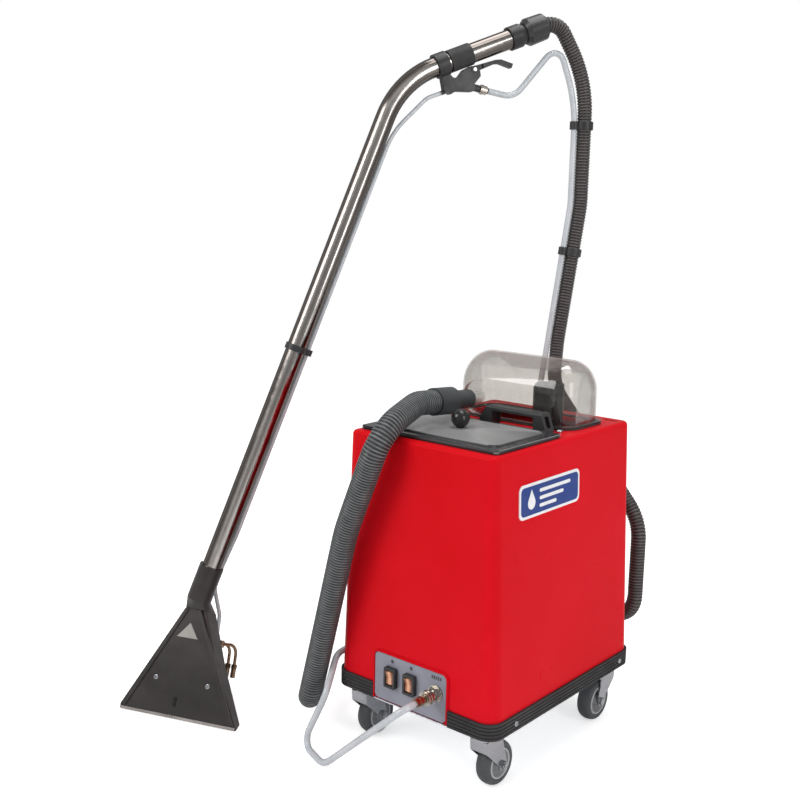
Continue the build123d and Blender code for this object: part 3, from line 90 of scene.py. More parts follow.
# Panel marks
DOT_RADIUS = 3.5 * MM
MARK_BELOW_TOP = 9 * MM
MARK_SPACING = 4.6 * MM

# Front plate of the floor tool: its turn from the front in degrees, half its height and half its widths
TOOL_TURN = 20.25
PLATE_HALF_HEIGHT = 101 * MM
PLATE_FOOT = 123 * MM
PLATE_TOP = 17.5 * MM

# Studio: lights as name, place, width, height and power; camera angles as turn, rise and roll in degrees
FLOOR_REACH = 12.0
LIGHT_TARGET = (0, 0, 0.45)
LIGHTS = (
    ("key", (-1.2, -2.6, 2.4), 1.6, 1.6, 56),
    ("side", (2.8, -0.4, 1.3), 0.9, 2.0, 26),
    ("top", (0.2, 0.4, 3.2), 2.0, 1.2, 34),
)
CAMERA_PLACE = (1.132457, -1.608222, 0.992319)
CAMERA_ANGLES = (40.301, 10.462, 1.141)
CAMERA_LENS = 49.257
SENSOR_WIDTH = 36.0


# ---------------------------------------------------------------- node material helpers

class Shader:
    """A material under construction: one Principled shader and the texture nodes that feed it."""

    def __init__(self, name, color, roughness, metallic=0.0):
        self.material = bpy.data.materials.new(name)
        self.material.use_nodes = True
        self.tree = self.material.node_tree
        self.bsdf = self.tree.nodes["Principled BSDF"]
        self.output = self.tree.nodes["Material Output"]
        self.bsdf.inputs["Base Color"].default_value = (*color, 1)
        self.bsdf.inputs["Roughness"].default_value = roughness
        self.bsdf.inputs["Metallic"].default_value = metallic
        self.place = self.node("ShaderNodeTexCoord").outputs["Object"]
        self.normal = None

    def node(self, kind, **settings):
        node = self.tree.nodes.new(kind)
        for key, value in settings.items():
            setattr(node, key, value)
        return node

    def link(self, source, target):
        self.tree.links.new(source, target)

    def stretched(self, scale):
        """Object coordinates scaled unevenly, so that noise turns into streaks."""
        mapping = self.node("ShaderNodeMapping")
        mapping.inputs["Scale"].default_value = scale
        self.link(self.place, mapping.inputs["Vector"])
        return mapping.outputs["Vector"]

    def noise(self, scale, detail=4.0, place=None, roughness=0.55):
        noise = self.node("ShaderNodeTexNoise")
        noise.inputs["Scale"].default_value = scale
        noise.inputs["Detail"].default_value = detail
        noise.inputs["Roughness"].default_value = roughness
        self.link(place or self.place, noise.inputs["Vector"])
        return noise.outputs["Fac"]

    def ramp(self, value, low, high, start=0.0, end=1.0):
        """Maps a value between low and high onto start to end."""
        spread = self.node("ShaderNodeMapRange")
        for key, number in zip(("From Min", "From Max", "To Min", "To Max"), (low, high, start, end)):
            spread.inputs[key].default_value = number
        self.link(value, spread.inputs["Value"])
        return spread.outputs["Result"]

    def math(self, kind, first, second):
        node = self.node("ShaderNodeMath", operation=kind)
        for socket, value in zip(node.inputs, (first, second)):
            if isinstance(value, (int, float)):
                socket.default_value = value
            else:
                self.link(value, socket)
        return node.outputs["Value"]

    def mix_color(self, factor, first, second):
        mix = self.node("ShaderNodeMix", data_type="RGBA")
        self.link(factor, mix.inputs["Factor"])
        for key, value in (("A", first), ("B", second)):
            socket = [s for s in mix.inputs if s.name == key and s.type == "RGBA"][0]
            if isinstance(value, tuple):
                socket.default_value = (*value, 1)
            else:
                self.link(value, socket)
        return [s for s in mix.outputs if s.type == "RGBA"][0]

    def color(self, source):
        self.link(source, self.bsdf.inputs["Base Color"])

    def rough(self, source):
        self.link(source, self.bsdf.inputs["Roughness"])

    def round_edges(self, radius):
        """Catches light on hard edges as a small radius would."""
        bevel = self.node("ShaderNodeBevel", samples=4)
        bevel.inputs["Radius"].default_value = radius
        self.normal = bevel.outputs["Normal"]
        self.link(self.normal, self.bsdf.inputs["Normal"])

    def bump(self, height, distance, strength=1.0):
        bump = self.node("ShaderNodeBump")
        bump.inputs["Distance"].default_value = distance
        bump.inputs["Strength"].default_value = strength
        self.link(height, bump.inputs["Height"])
        if self.normal:
            self.link(self.normal, bump.inputs["Normal"])
        self.normal = bump.outputs["Normal"]
        self.link(self.normal, self.bsdf.inputs["Normal"])

    def edge_wear(self, color, amount):
        """Lighter rubbed edges, from the pointiness of the mesh."""
        geometry = self.node("ShaderNodeNewGeometry")
        edge = self.ramp(geometry.outputs["Pointiness"], 0.52, 0.6, 0.0, amount)
        return self.mix_color(edge, color, (0.5, 0.5, 0.5))


def plastic(name, color, roughness, grain=900, depth=0.00012, variation=0.18, edge=0.0006):
    """Moulded plastic: fine grain, cloudy colour and roughness, soft edges."""
    s = Shader(name, color, roughness)
    s.bsdf.inputs["Specular IOR Level"].default_value = 0.35
    cloud = s.noise(9, 5)
    darker = tuple(c * (1 - variation) for c in color)
    lighter = tuple(min(1, c * (1 + variation) + 0.01) for c in color)
    s.color(s.mix_color(s.ramp(cloud, 0.35, 0.65), darker, lighter))
    s.rough(s.ramp(s.noise(35, 6), 0.3, 0.7, roughness * 0.8, roughness * 1.25))
    s.round_edges(edge)
    s.bump(s.noise(grain, 3), depth, 0.5)
    return s.material


def metal(name, color, roughness, streak=(4, 4, 160), variation=0.12, edge=0.0005):
    """Worked metal: fine streaks one way, smudges in the roughness."""
    s = Shader(name, color, roughness, 1.0)
    streaks = s.noise(6, 8, s.stretched(streak))
    darker = tuple(c * (1 - 2 * variation) for c in color)
    s.color(s.mix_color(s.ramp(streaks, 0.3, 0.7), darker, color))
    smudge = s.noise(25, 5)
    s.rough(s.ramp(smudge, 0.3, 0.7, roughness * 0.7, roughness * 1.5))
    s.round_edges(edge)
    s.bump(streaks, 0.00008, 0.4)
    return s.material


def red_body():
    """Rotomoulded red housing: faint orange peel, flow clouds, hand-worn shine."""
    s = Shader("body_red", (0.56, 0.008, 0.018), 0.32)
    cloud = s.noise(2.2, 5)
    red = s.mix_color(s.ramp(cloud, 0.3, 0.7), (0.58, 0.004, 0.008), (0.68, 0.008, 0.018))
    speck = s.ramp(s.noise(700, 4), 0.70, 0.80, 0.0, 0.12)
    s.color(s.mix_color(speck, red, (0.36, 0.004, 0.008)))
    s.rough(s.ramp(s.noise(14, 6), 0.3, 0.7, 0.26, 0.40))
    s.bsdf.inputs["Specular IOR Level"].default_value = 0.03
    s.round_edges(0.002)
    s.bump(s.noise(220, 3), 0.00025, 0.25)
    return s.material


def clear_dome():
    """Thin clear acrylic: see-through, stronger shine at a slant, a little haze and fine scratches."""
    s = Shader("dome_clear", (0.9, 0.9, 0.9), 0.04)
    haze = s.noise(40, 8, s.stretched((6, 1, 1)))
    clear = s.node("ShaderNodeBsdfTransparent")
    tint = s.mix_color(s.ramp(haze, 0.3, 0.7), (0.850, 0.838, 0.820), (0.890, 0.880, 0.866))
    s.link(tint, clear.inputs["Color"])
    shine = s.node("ShaderNodeBsdfGlossy")
    shine.inputs["Color"].default_value = (1, 1, 1, 1)
    s.link(s.ramp(haze, 0.3, 0.7, 0.02, 0.07), shine.inputs["Roughness"])
    veil = s.node("ShaderNodeBsdfDiffuse")
    veil.inputs["Color"].default_value = (0.60, 0.58, 0.57, 1)
    facing = s.node("ShaderNodeLayerWeight")
    facing.inputs["Blend"].default_value = 0.25
    body = s.node("ShaderNodeMixShader")
    s.link(s.ramp(facing.outputs["Facing"], 0.4, 1.0, 0.01, 0.28), body.inputs["Fac"])
    s.link(clear.outputs[0], body.inputs[1])
    s.link(veil.outputs[0], body.inputs[2])
    skin = s.node("ShaderNodeMixShader")
    s.link(s.ramp(facing.outputs["Fresnel"], 0.0, 1.0, 0.015, 0.45), skin.inputs["Fac"])
    s.link(body.outputs[0], skin.inputs[1])
    s.link(shine.outputs[0], skin.inputs[2])
    s.link(skin.outputs[0], s.output.inputs["Surface"])
    return s.material


def smoked_lid():
    """Smoked sheet: calm dark reflections, a little dust, paler rubbed edges."""
    s = Shader("lid_smoke", (0.12, 0.12, 0.13), 0.14)
    cloud = s.noise(5, 4, s.stretched((1, 2.5, 1)))
    smoke = s.mix_color(s.ramp(cloud, 0.35, 0.65), (0.018, 0.018, 0.020), (0.050, 0.050, 0.053))
    crest_highlight = s.ramp(s.noise(260, 8), 0.62, 0.75, 0.0, 0.20)
    s.color(s.edge_wear(s.mix_color(crest_highlight, smoke, (0.30, 0.30, 0.30)), 0.6))
    s.rough(s.ramp(s.noise(30, 6), 0.3, 0.7, 0.10, 0.24))
    s.bsdf.inputs["Specular IOR Level"].default_value = 0.15
    s.round_edges(0.0012)
    return s.material


def polished_steel():
    """Mirror-like drawn tube: painted reflection with a bright middle and brown-black sides, long draw
    lines.
    """
    s = Shader("wand_steel", (0.6, 0.58, 0.56), 0.16, 1.0)
    # Painted reflection: colour bands set by how squarely the tube faces the camera, bright middle,
    # brown-black sides.
    facing = s.node("ShaderNodeLayerWeight")
    facing.inputs["Blend"].default_value = 0.5
    painted_reflection_bands = s.node("ShaderNodeValToRGB")
    painted_reflection_stops = ((0.0, (0.26, 0.24, 0.225)), (0.06, (0.56, 0.53, 0.51)), (0.15, (0.20, 0.178, 0.163)),
             (0.27, (0.10, 0.086, 0.078)), (0.42, (0.22, 0.195, 0.18)), (0.58, (0.075, 0.063, 0.056)),
             (0.80, (0.03, 0.024, 0.022)), (1.0, (0.12, 0.10, 0.09)))
    ramp = painted_reflection_bands.color_ramp
    for position, _ in painted_reflection_stops[1:-1]:
        ramp.elements.new(position)
    for element, (position, color) in zip(ramp.elements, painted_reflection_stops):
        element.position = position
        element.color = (*color, 1)
    s.link(facing.outputs["Facing"], painted_reflection_bands.inputs["Fac"])
    wear = s.noise(7, 8, s.stretched((30, 30, 1.5)))
    smudged = s.ramp(wear, 0.5, 0.8, 0.0, 0.45)
    s.color(s.mix_color(smudged, painted_reflection_bands.outputs["Color"], (0.20, 0.18, 0.165)))
    s.rough(s.ramp(s.noise(50, 6), 0.3, 0.7, 0.10, 0.26))
    s.bump(wear, 0.0001, 0.4)
    return s.material


def hose_plastic(name, color, crest, crest_radius, valley_radius):
    """Ribbed hose: painted highlight on the pale crests, in patches, and painted shade in the dark valleys;
    radial distance is stored on the mesh.
    """
    s = Shader(name, color, 0.5)
    height = s.node("ShaderNodeAttribute", attribute_name="rib").outputs["Fac"]
    patchy = s.ramp(s.noise(60, 6), 0.25, 0.75, 0.35, 1.0)
    # Painted highlight: paler colour on the rib crests, broken into patches by noise.
    crest_highlight = s.math("MULTIPLY", s.ramp(height, crest_radius, 1.0), patchy)
    base = s.mix_color(crest_highlight, color, crest)
    # Painted shade: darker colour in the rib valleys.
    valley_shade = tuple(c * 0.35 for c in color)
    s.color(s.mix_color(s.ramp(height, 0.0, valley_radius, 1.0, 0.0), base, valley_shade))
    s.rough(s.ramp(s.noise(80, 5), 0.3, 0.7, 0.36, 0.62))
    s.bump(s.noise(700, 4), 0.00015, 0.4)
    return s.material


def clear_tube():
    """Milky clear pressure tube: painted shade gives darker rims where the wall is seen edge on."""
    s = Shader("tube_clear", (0.66, 0.69, 0.72), 0.22)
    cloud = s.mix_color(s.ramp(s.noise(12, 4), 0.3, 0.7), (0.44, 0.47, 0.50), (0.56, 0.58, 0.61))
    facing = s.node("ShaderNodeLayerWeight")
    facing.inputs["Blend"].default_value = 0.4
    # Painted shade: darker bluish colour toward the rims, where the wall is seen edge on.
    s.color(s.mix_color(s.ramp(facing.outputs["Facing"], 0.35, 0.9, 0.0, 0.6), cloud, (0.24, 0.26, 0.29)))
    s.rough(s.ramp(s.noise(90, 4), 0.3, 0.7, 0.16, 0.32))
    s.bsdf.inputs["Coat Weight"].default_value = 0.4
    s.bump(s.noise(160, 3), 0.00006, 0.3)
    return s.material


def lit_amber():
    """Translucent amber rocker with a painted glow in the middle of it."""
    s = Shader("rocker_amber", (0.5, 0.2, 0.1), 0.2)
    spread = s.node("ShaderNodeSeparateXYZ")
    s.link(s.node("ShaderNodeTexCoord").outputs["Generated"], spread.inputs[0])
    aside = s.math("ABSOLUTE", s.math("SUBTRACT", spread.outputs["X"], 0.5), 0)
    # Painted glow: paler amber and a little emission across the middle of the rocker.
    painted_glow = s.ramp(aside, 0.12, 0.30, 1.0, 0.0)
    cloud = s.mix_color(s.ramp(s.noise(160, 4), 0.3, 0.7), (0.22, 0.075, 0.035), (0.36, 0.15, 0.08))
    tone = s.mix_color(painted_glow, cloud, (0.62, 0.32, 0.19))
    s.color(tone)
    s.link(tone, s.bsdf.inputs["Emission Color"])
    s.link(s.math("MULTIPLY", painted_glow, 0.2), s.bsdf.inputs["Emission Strength"])
    s.round_edges(0.0006)
    s.bump(s.noise(500, 3), 0.0001, 0.3)
    return s.material


def galvanised():
    """Zinc coated sheet with spangle."""
    s = Shader("galvanised", (0.66, 0.69, 0.74), 0.3, 0.9)
    cells = s.node("ShaderNodeTexVoronoi")
    cells.inputs["Scale"].default_value = 130
    s.link(s.place, cells.inputs["Vector"])
    spangle = s.node("ShaderNodeSeparateColor")
    s.link(cells.outputs["Color"], spangle.inputs["Color"])
    tone = spangle.outputs[0]
    s.color(s.mix_color(tone, (0.52, 0.55, 0.60), (0.74, 0.78, 0.84)))
    s.rough(s.ramp(tone, 0.0, 1.0, 0.22, 0.42))
    s.round_edges(0.0004)
    s.bump(s.noise(60, 5), 0.0001, 0.4)
    return s.material


def studio_floor():
    """White paper sweep, brightened for the camera only so that it blends into the backdrop."""
    s = Shader("studio_floor", (0.90, 0.90, 0.90), 0.7)
    cloud = s.noise(1.5, 3)
    s.color(s.mix_color(s.ramp(cloud, 0.3, 0.7), (0.88, 0.88, 0.88), (0.92, 0.92, 0.92)))
    s.bsdf.inputs["Specular IOR Level"].default_value = 0.1
    s.bsdf.inputs["Emission Color"].default_value = (1, 1, 1, 1)
    seen = s.node("ShaderNodeLightPath").outputs["Is Camera Ray"]
    s.link(s.ramp(seen, 0.0, 1.0, 0.06, 0.55), s.bsdf.inputs["Emission Strength"])
    s.bump(s.noise(80, 3), 0.0002, 0.2)
    return s.material


ZINC = metal("zinc_plated", (0.44, 0.45, 0.475), 0.20)
NICKEL = metal("nickel_plated", (0.56, 0.52, 0.46), 0.2, variation=0.2)
BRASS = metal("turned_brass", (0.42, 0.27, 0.17), 0.26, variation=0.2)
STEEL = metal("worn_steel", (0.46, 0.42, 0.40), 0.34, (90, 3, 3))
MOTOR = metal("cast_aluminium", (0.58, 0.58, 0.60), 0.45)
BLACK = plastic("black_plastic", (0.022, 0.022, 0.024), 0.38)
SATIN_BLACK = plastic("satin_black", (0.028, 0.027, 0.028), 0.28)
RUBBER = plastic("black_rubber", (0.022, 0.021, 0.022), 0.6, 500)
GLOSS_BLACK = plastic("gloss_black", (0.012, 0.012, 0.013), 0.10, 900, 0.00001)
PIPE_DARK = plastic("standpipe_dark", (0.030, 0.030, 0.032), 0.16, 400, 0.0001)
TOOL_BLACK = plastic("tool_black", (0.026, 0.021, 0.021), 0.36, 700)
CUFF_GREY = plastic("cuff_grey", (0.038, 0.042, 0.045), 0.45, 700)
PANEL_GREY = plastic("panel_grey", (0.235, 0.24, 0.29), 0.36, 1200, 0.00006, 0.08)
WHITE_PLASTIC = plastic("white_plastic", (0.78, 0.78, 0.77), 0.35)
BADGE_WHITE = plastic("badge_white", (0.82, 0.82, 0.84), 0.25, 500, 0.00004, 0.04)
BADGE_BLUE = plastic("badge_blue", (0.004, 0.035, 0.22), 0.4, 500, 0.00004, 0.10)
TYRE_GREY = plastic("tyre_grey", (0.058, 0.062, 0.067), 0.5, 500)
HUB_GREY = plastic("hub_grey", (0.20, 0.205, 0.21), 0.38, 700)
RIM_GREY = plastic("rim_grey", (0.42, 0.43, 0.44), 0.34, 700)
MARK_GREY = plastic("mark_grey", (0.05, 0.05, 0.06), 0.4)
WINDOW_GREY = plastic("window_grey", (0.26, 0.25, 0.235), 0.34)
RED = red_body()
CLEAR = clear_dome()
LID = smoked_lid()
WAND = polished_steel()
TUBE = clear_tube()
AMBER = lit_amber()
GALVANISED = galvanised()
# Hose colours: the hose's own colour, then the painted highlight colour for the rib crests.
HOSE = hose_plastic("hose_grey", (0.026, 0.030, 0.032), (0.20, 0.21, 0.215), 0.80, 0.45)
THIN_HOSE = hose_plastic("thin_hose_black", (0.024, 0.020, 0.020), (0.15, 0.13, 0.125), 0.82, 0.40)

CAD_MATERIALS = {
    RED: ["body_shell"],
    RUBBER: ["bumper_strip", "suction_sleeve", "lid_seal", "dome_seal", "grip_sleeve"],
    GALVANISED: ["base_plate"],
    ZINC: ["body_fasteners", "caster_plates", "tool_screws", "lever_pin"]
    + [name for name in nodes if name.startswith("caster_fork")],
    PANEL_GREY: ["control_panel"],
    BLACK: ["switch_frames", "carry_handle", "power_inlet", "lower_hose_clip", "upper_hose_clip",
            "valve_body", "wand_clamps", "water_pump", "trigger_lever"],
    NICKEL: ["coupling_socket", "coupling_sleeve", "valve_coupling_sleeve"],
    BRASS: ["hose_plug", "spray_jets"],
    MOTOR: ["vacuum_motor", "fan_rotor"],
    WHITE_PLASTIC: ["tank_strainer", "float_ball"],
    TUBE: ["pump_outlet_pipe"],
    AMBER: ["pump_rocker", "vacuum_rocker"],
    CLEAR: ["recovery_dome"],
    LID: ["fresh_tank_lid"],
    GLOSS_BLACK: ["ball_knob"],
    PIPE_DARK: ["standpipe"],
    CUFF_GREY: ["dome_cuff", "hose_reducer"],
    SATIN_BLACK: ["wand_cuff"],
    TOOL_BLACK: ["tool_head", "tool_front_plate"],
    STEEL: ["tool_lip"],
    WAND: ["wand_tube"],
    BADGE_WHITE: ["badge_plate"],
}
for material, names in CAD_MATERIALS.items():
    for name in names:
        mesh = nodes[name].data
        mesh.materials.clear()
        mesh.materials.append(material)


# ---------------------------------------------------------------- mesh helpers

def make_object(name, vertices, faces, material, smooth=True):
    mesh = bpy.data.meshes.new(name)
    mesh.from_pydata([tuple(v) for v in vertices], [], faces)
    work = bmesh.new()
    work.from_mesh(mesh)
    bmesh.ops.recalc_face_normals(work, faces=work.faces)
    work.to_mesh(mesh)
    work.free()
    mesh.materials.append(material)
    for polygon in mesh.polygons:
        polygon.use_smooth = smooth
    piece = bpy.data.objects.new(name, mesh)
    bpy.context.scene.collection.objects.link(piece)
    return piece


def flat_region(start, seen):
    """All faces joined to a face that lie in one plane with it."""
    region, stack = [], [start]
    seen.add(start.index)
    while stack:
        current = stack.pop()
        region.append(current)
        for edge in current.edges:
            for other in edge.link_faces:
                if other.index not in seen and other.normal.dot(current.normal) > 0.99999:
                    seen.add(other.index)
                    stack.append(other)
    return region


def end_caps(node):
    """The two flat ends of a swept tube, as (centre, outward normal)."""
    work = bmesh.new()
    work.from_mesh(node.data)
    bmesh.ops.remove_doubles(work, verts=work.verts, dist=1e-6)
    work.faces.ensure_lookup_table()
    seen = set()
    regions = [flat_region(face, seen) for face in work.faces if face.index not in seen]
    regions.sort(key=len, reverse=True)
    caps = []
    for region in regions[:2]:
        points = {v for face in region for v in face.verts}
        centre = sum((v.co for v in points), Vector()) / len(points)
        caps.append((centre.copy(), region[0].normal.copy()))
    work.free()
    return caps


def middle_of_cut(edges, guess, direction):
    """The middle of the mesh's cut by the plane through a point, or None where nothing is cut."""
    across = direction.orthogonal().normalized()
    up = direction.cross(across)
    spans = [[], []]
    for a, b in edges:
        da, db = (a - guess).dot(direction), (b - guess).dot(direction)
        if da * db >= 0:
            continue
        hit = a + (b - a) * (da / (da - db)) - guess
        if hit.length < WIDEST_CUT:
            spans[0].append(hit.dot(across))
            spans[1].append(hit.dot(up))
    if not spans[0]:
        return None
    middle = guess
    for span, axis in zip(spans, (across, up)):
        middle = middle + axis * ((min(span) + max(span)) / 2)
    return middle


def centre_line(node, start_near, step=0.004):
    """Walks along a swept tube from the end nearest a point, one cut after another."""
    caps = sorted(end_caps(node), key=lambda cap: (cap[0] - Vector(start_near)).length)
    point, direction = caps[0][0], -caps[0][1]
    last = caps[1][0]
    mesh = node.data
    edges = [(mesh.vertices[a].co, mesh.vertices[b].co) for a, b in (e.vertices for e in mesh.edges)]
    line = [point.copy()]
    while (last - line[-1]).length > 1.5 * step and len(line) * step < LONGEST_HOSE:
        middle = middle_of_cut(edges, line[-1] + direction * step, direction)
        if middle is None:
            break
        direction = (direction * 2 + (middle - line[-1]).normalized()).normalized()
        line.append(middle)
    line.append(last.copy())
    return line


def resample(line, spacing):
    """Points at even distances along a line, smoothed once."""
    smooth = [line[0]]
    for before, here, after in zip(line, line[1:], line[2:]):
        smooth.append((before + here * 2 + after) / 4)
    smooth.append(line[-1])
    lengths = [0.0]
    for a, b in zip(smooth, smooth[1:]):
        lengths.append(lengths[-1] + (b - a).length)
    count = max(2, round(lengths[-1] / spacing))
    points = []
    segment = 0
    for i in range(count + 1):
        target = lengths[-1] * i / count
        while segment < len(lengths) - 2 and lengths[segment + 1] < target:
            segment += 1
        span = lengths[segment + 1] - lengths[segment]
        share = (target - lengths[segment]) / span if span else 0
        points.append(smooth[segment].lerp(smooth[segment + 1], share))
    return points


def tube(name, points, radius_at, sides, material, rib_at=None):
    """A closed tube round the points; radius_at gives its radius at each point's index."""
    vertices, faces, ribs = [], [], []
    direction = (points[1] - points[0]).normalized()
    across = direction.orthogonal().normalized()
    for i, point in enumerate(points):
        ahead = points[min(i + 1, len(points) - 1)]
        behind = points[max(i - 1, 0)]
        direction = (ahead - behind).normalized()
        across = (across - direction * across.dot(direction)).normalized()
        up = direction.cross(across)
        radius = radius_at(i)
        for k in range(sides):
            angle = 2 * math.pi * k / sides
            vertices.append(point + (across * math.cos(angle) + up * math.sin(angle)) * radius)
            ribs.append(rib_at(i) if rib_at else 0.0)
    for i in range(len(points) - 1):
        for k in range(sides):
            a, b = i * sides + k, i * sides + (k + 1) % sides
            faces.append((a, b, b + sides, a + sides))
    faces.append(tuple(range(sides)))
    faces.append(tuple(len(vertices) - sides + k for k in range(sides)))
    piece = make_object(name, vertices, faces, material)
    if rib_at:
        attribute = piece.data.attributes.new("rib", "FLOAT", "POINT")
        attribute.data.foreach_set("value", ribs)
    return piece


def ribbed_hose(name, line, radius, depth, pitch, sides, material):
    """A corrugated hose: rounded crests with narrow valleys between them."""
    per_rib = 6
    points = resample(line, pitch / per_rib)
    shape = [abs(math.sin(math.pi * k / per_rib)) ** 0.6 for k in range(per_rib)]
    return tube(name, points, lambda i: radius - depth * (1 - shape[i % per_rib]), sides, material,
                lambda i: shape[i % per_rib])


def lathe(name, centre, axis, profile, material, sides=72):
    """A closed ring turned round an axis from (along, radius) profile points."""
    axis = Vector(axis).normalized()
    across = axis.orthogonal().normalized()
    up = axis.cross(across)
    vertices, faces = [], []
    for k in range(sides):
        angle = 2 * math.pi * k / sides
        out = across * math.cos(angle) + up * math.sin(angle)
        for along, radius in profile:
            vertices.append(Vector(centre) + axis * along + out * radius)
    count = len(profile)
    for k in range(sides):
        for j in range(count):
            a, b = k * count + j, k * count + (j + 1) % count
            c, d = ((k + 1) % sides) * count + (j + 1) % count, ((k + 1) % sides) * count + j
            faces.append((a, b, c, d))
    return make_object(name, vertices, faces, material)


def prism(name, plane, outline, low, high, material, smooth=False):
    """A flat shape with thickness: outline points in the plane's own x and y."""
    count = len(outline)
    vertices = [plane @ Vector((x, y, level)) for level in (low, high) for x, y in outline]
    faces = [tuple(range(count)), tuple(range(count, 2 * count))]
    for k in range(count):
        j = (k + 1) % count
        faces.append((k, j, j + count, k + count))
    return make_object(name, vertices, faces, material, smooth)


def rounded_rectangle(width, height, radius, steps=8):
    """Four corner arcs; where a side has no length, the two arcs share one point."""
    outline = []
    for x, y, start in ((1, 1, 0), (-1, 1, 90), (-1, -1, 180), (1, -1, 270)):
        for k in range(steps + 1):
            angle = math.radians(start + 90 * k / steps)
            outline.append((x * (width / 2 - radius) + radius * math.cos(angle),
                            y * (height / 2 - radius) + radius * math.sin(angle)))
    before = outline[-1:] + outline[:-1]
    return [here for here, last in zip(outline, before) if math.dist(here, last) > 0.01 * MM]


def face_plane(name, toward, x_axis):
    """Plane on a node's biggest flat side that looks toward a direction, centred on that side."""
    mesh = nodes[name].data
    toward = Vector(toward)
    best = max(mesh.polygons, key=lambda p: p.area * (p.normal.dot(toward) > 0.7))
    flat = [p for p in mesh.polygons if p.normal.dot(best.normal) > 0.9999
            and abs((p.center - best.center).dot(best.normal)) < 0.0002]
    normal = best.normal.normalized()
    x = (Vector(x_axis) - normal * Vector(x_axis).dot(normal)).normalized()
    y = normal.cross(x)
    corners = [mesh.vertices[i].co for p in flat for i in p.vertices]
    spans = [[c.dot(axis) for c in corners] for axis in (x, y)]
    centre = x * ((min(spans[0]) + max(spans[0])) / 2) + y * ((min(spans[1]) + max(spans[1])) / 2)
    centre += normal * best.center.dot(normal)
    return Matrix.Translation(centre) @ Matrix((x, y, normal)).transposed().to_4x4()


def joint_place(name):
    return Vector(next(j for j in frame["joints"] if j["name"] == name)["pos_m"])


def box_middle(name):
    low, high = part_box(name)
    return (Vector(low) + Vector(high)) / 2


def fasten(piece, body):
    """Sets the body that a piece moves with."""
    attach(piece, body)


# ---------------------------------------------------------------- hoses and tubes

def stretch_to_wand(piece):
    """Bakes the placement of a hose that passes from the machine to the wand into its mesh."""
    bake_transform(piece)


def build_suction_hose():
    """Thick hose from the dome's cuff, down past the panel, round to the reducer at the back."""
    first = centre_line(nodes["dome_hose"], box_middle("dome_cuff"))
    second = centre_line(nodes["vacuum_hose"], box_middle("dome_hose"))
    piece = ribbed_hose("suction_hose", first + second[1:], SUCTION_HOSE_RADIUS, SUCTION_HOSE_DEPTH,
                        SUCTION_HOSE_PITCH, 40, HOSE)
    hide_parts("dome_hose", "vacuum_hose")
    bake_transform(piece)


def build_wand_hose():
    """Thin hose from the reducer, up behind the machine, to the cuff on the wand."""
    first = centre_line(nodes["rear_hose"], box_middle("hose_reducer"))
    second = centre_line(nodes["wand_hose"], first[-1])
    piece = ribbed_hose("wand_suction_hose", first + second[1:], WAND_HOSE_RADIUS, WAND_HOSE_DEPTH,
                        WAND_HOSE_PITCH, 32, THIN_HOSE)
    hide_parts("rear_hose", "wand_hose")
    stretch_to_wand(piece)


def build_solution_tube():
    """Clear tube from the panel to the trigger valve."""
    first = centre_line(nodes["solution_hose"], box_middle("hose_plug"))
    second = centre_line(nodes["wand_solution_hose"], first[-1])
    points = resample(first + second[1:], TUBE_STEP)
    piece = tube("solution_tube", points, lambda i: SOLUTION_TUBE_RADIUS, 24, TUBE)
    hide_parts("solution_hose", "wand_solution_hose")
    stretch_to_wand(piece)


def build_spray_tube():
    """Thin clear tube from the trigger valve down the wand to the spray jets."""
    line = centre_line(nodes["wand_spray_tube"], box_middle("valve_body"))
    piece = tube("spray_tube", resample(line, TUBE_STEP), lambda i: SPRAY_TUBE_RADIUS, 20, TUBE)
    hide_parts("wand_spray_tube")
    fasten(piece, "wand")


# ---------------------------------------------------------------- casters

def mirrored(side):
    """A ring's profile from its outer half: the same points on the other side, in reverse."""
    return side + [(-along, across) for along, across in reversed(side)]


def tyre_profile(radius, inner):
    """Crowned tread, straight flanks and a chamfered bore."""
    half = WHEEL_HALF_WIDTH
    tread = []
    for k in range(13):
        angle = math.radians(-90 + 15 * k)
        tread.append((math.sin(angle) * half, radius - TREAD_ROUND + math.cos(angle) * TREAD_ROUND))
    return tread + [(half - 0.5 * MM, inner + 2 * MM), (half - 2 * MM, inner),
                    (-half + 2 * MM, inner), (-half + 0.5 * MM, inner + 2 * MM)]


def hub_profile(rim):
    """Rounded rim, recessed web and a boss round the axle."""
    half = WHEEL_HALF_WIDTH
    return mirrored([(half - 2 * MM, rim), (half - 1 * MM, rim - 1.5 * MM), (half - 1.5 * MM, rim - 4 * MM),
                     (7 * MM, rim - 6 * MM), (6 * MM, rim - 9 * MM), (6.5 * MM, 13 * MM),
                     (half - 2 * MM, 11 * MM), (half + 0.6 * MM, 10 * MM), (half + 1 * MM, 4.2 * MM)])


def ring_profile(rim):
    """Pale raised ring at the edge of the hub."""
    half = WHEEL_HALF_WIDTH
    return mirrored([(half - 1.2 * MM, rim), (half - 0.4 * MM, rim - 0.8 * MM),
                     (half - 0.4 * MM, rim - 2.4 * MM), (half - 1.6 * MM, rim - 3.0 * MM)])


def build_wheels():
    """Grey tyre with a crowned tread over a paler hub with a recessed web."""
    for corner in ("front_left", "front_right", "rear_left", "rear_right"):
        node = "caster_wheel_" + corner
        centre = joint_place("roll_" + corner)
        low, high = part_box(node)
        radius = (high[2] - low[2]) / 2
        inner = radius - TYRE_THICKNESS
        rim = inner - 0.1 * MM
        tyre = lathe("tyre_" + corner, centre, (1, 0, 0), tyre_profile(radius, inner), TYRE_GREY)
        hub = lathe("hub_" + corner, centre, (1, 0, 0), hub_profile(rim), HUB_GREY)
        ring = lathe("rim_" + corner, centre, (1, 0, 0), ring_profile(rim), RIM_GREY)
        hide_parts(node)
        for piece in (tyre, hub, ring):
            fasten(piece, "wheel_" + corner)


# ---------------------------------------------------------------- badge, panel marks, tool details

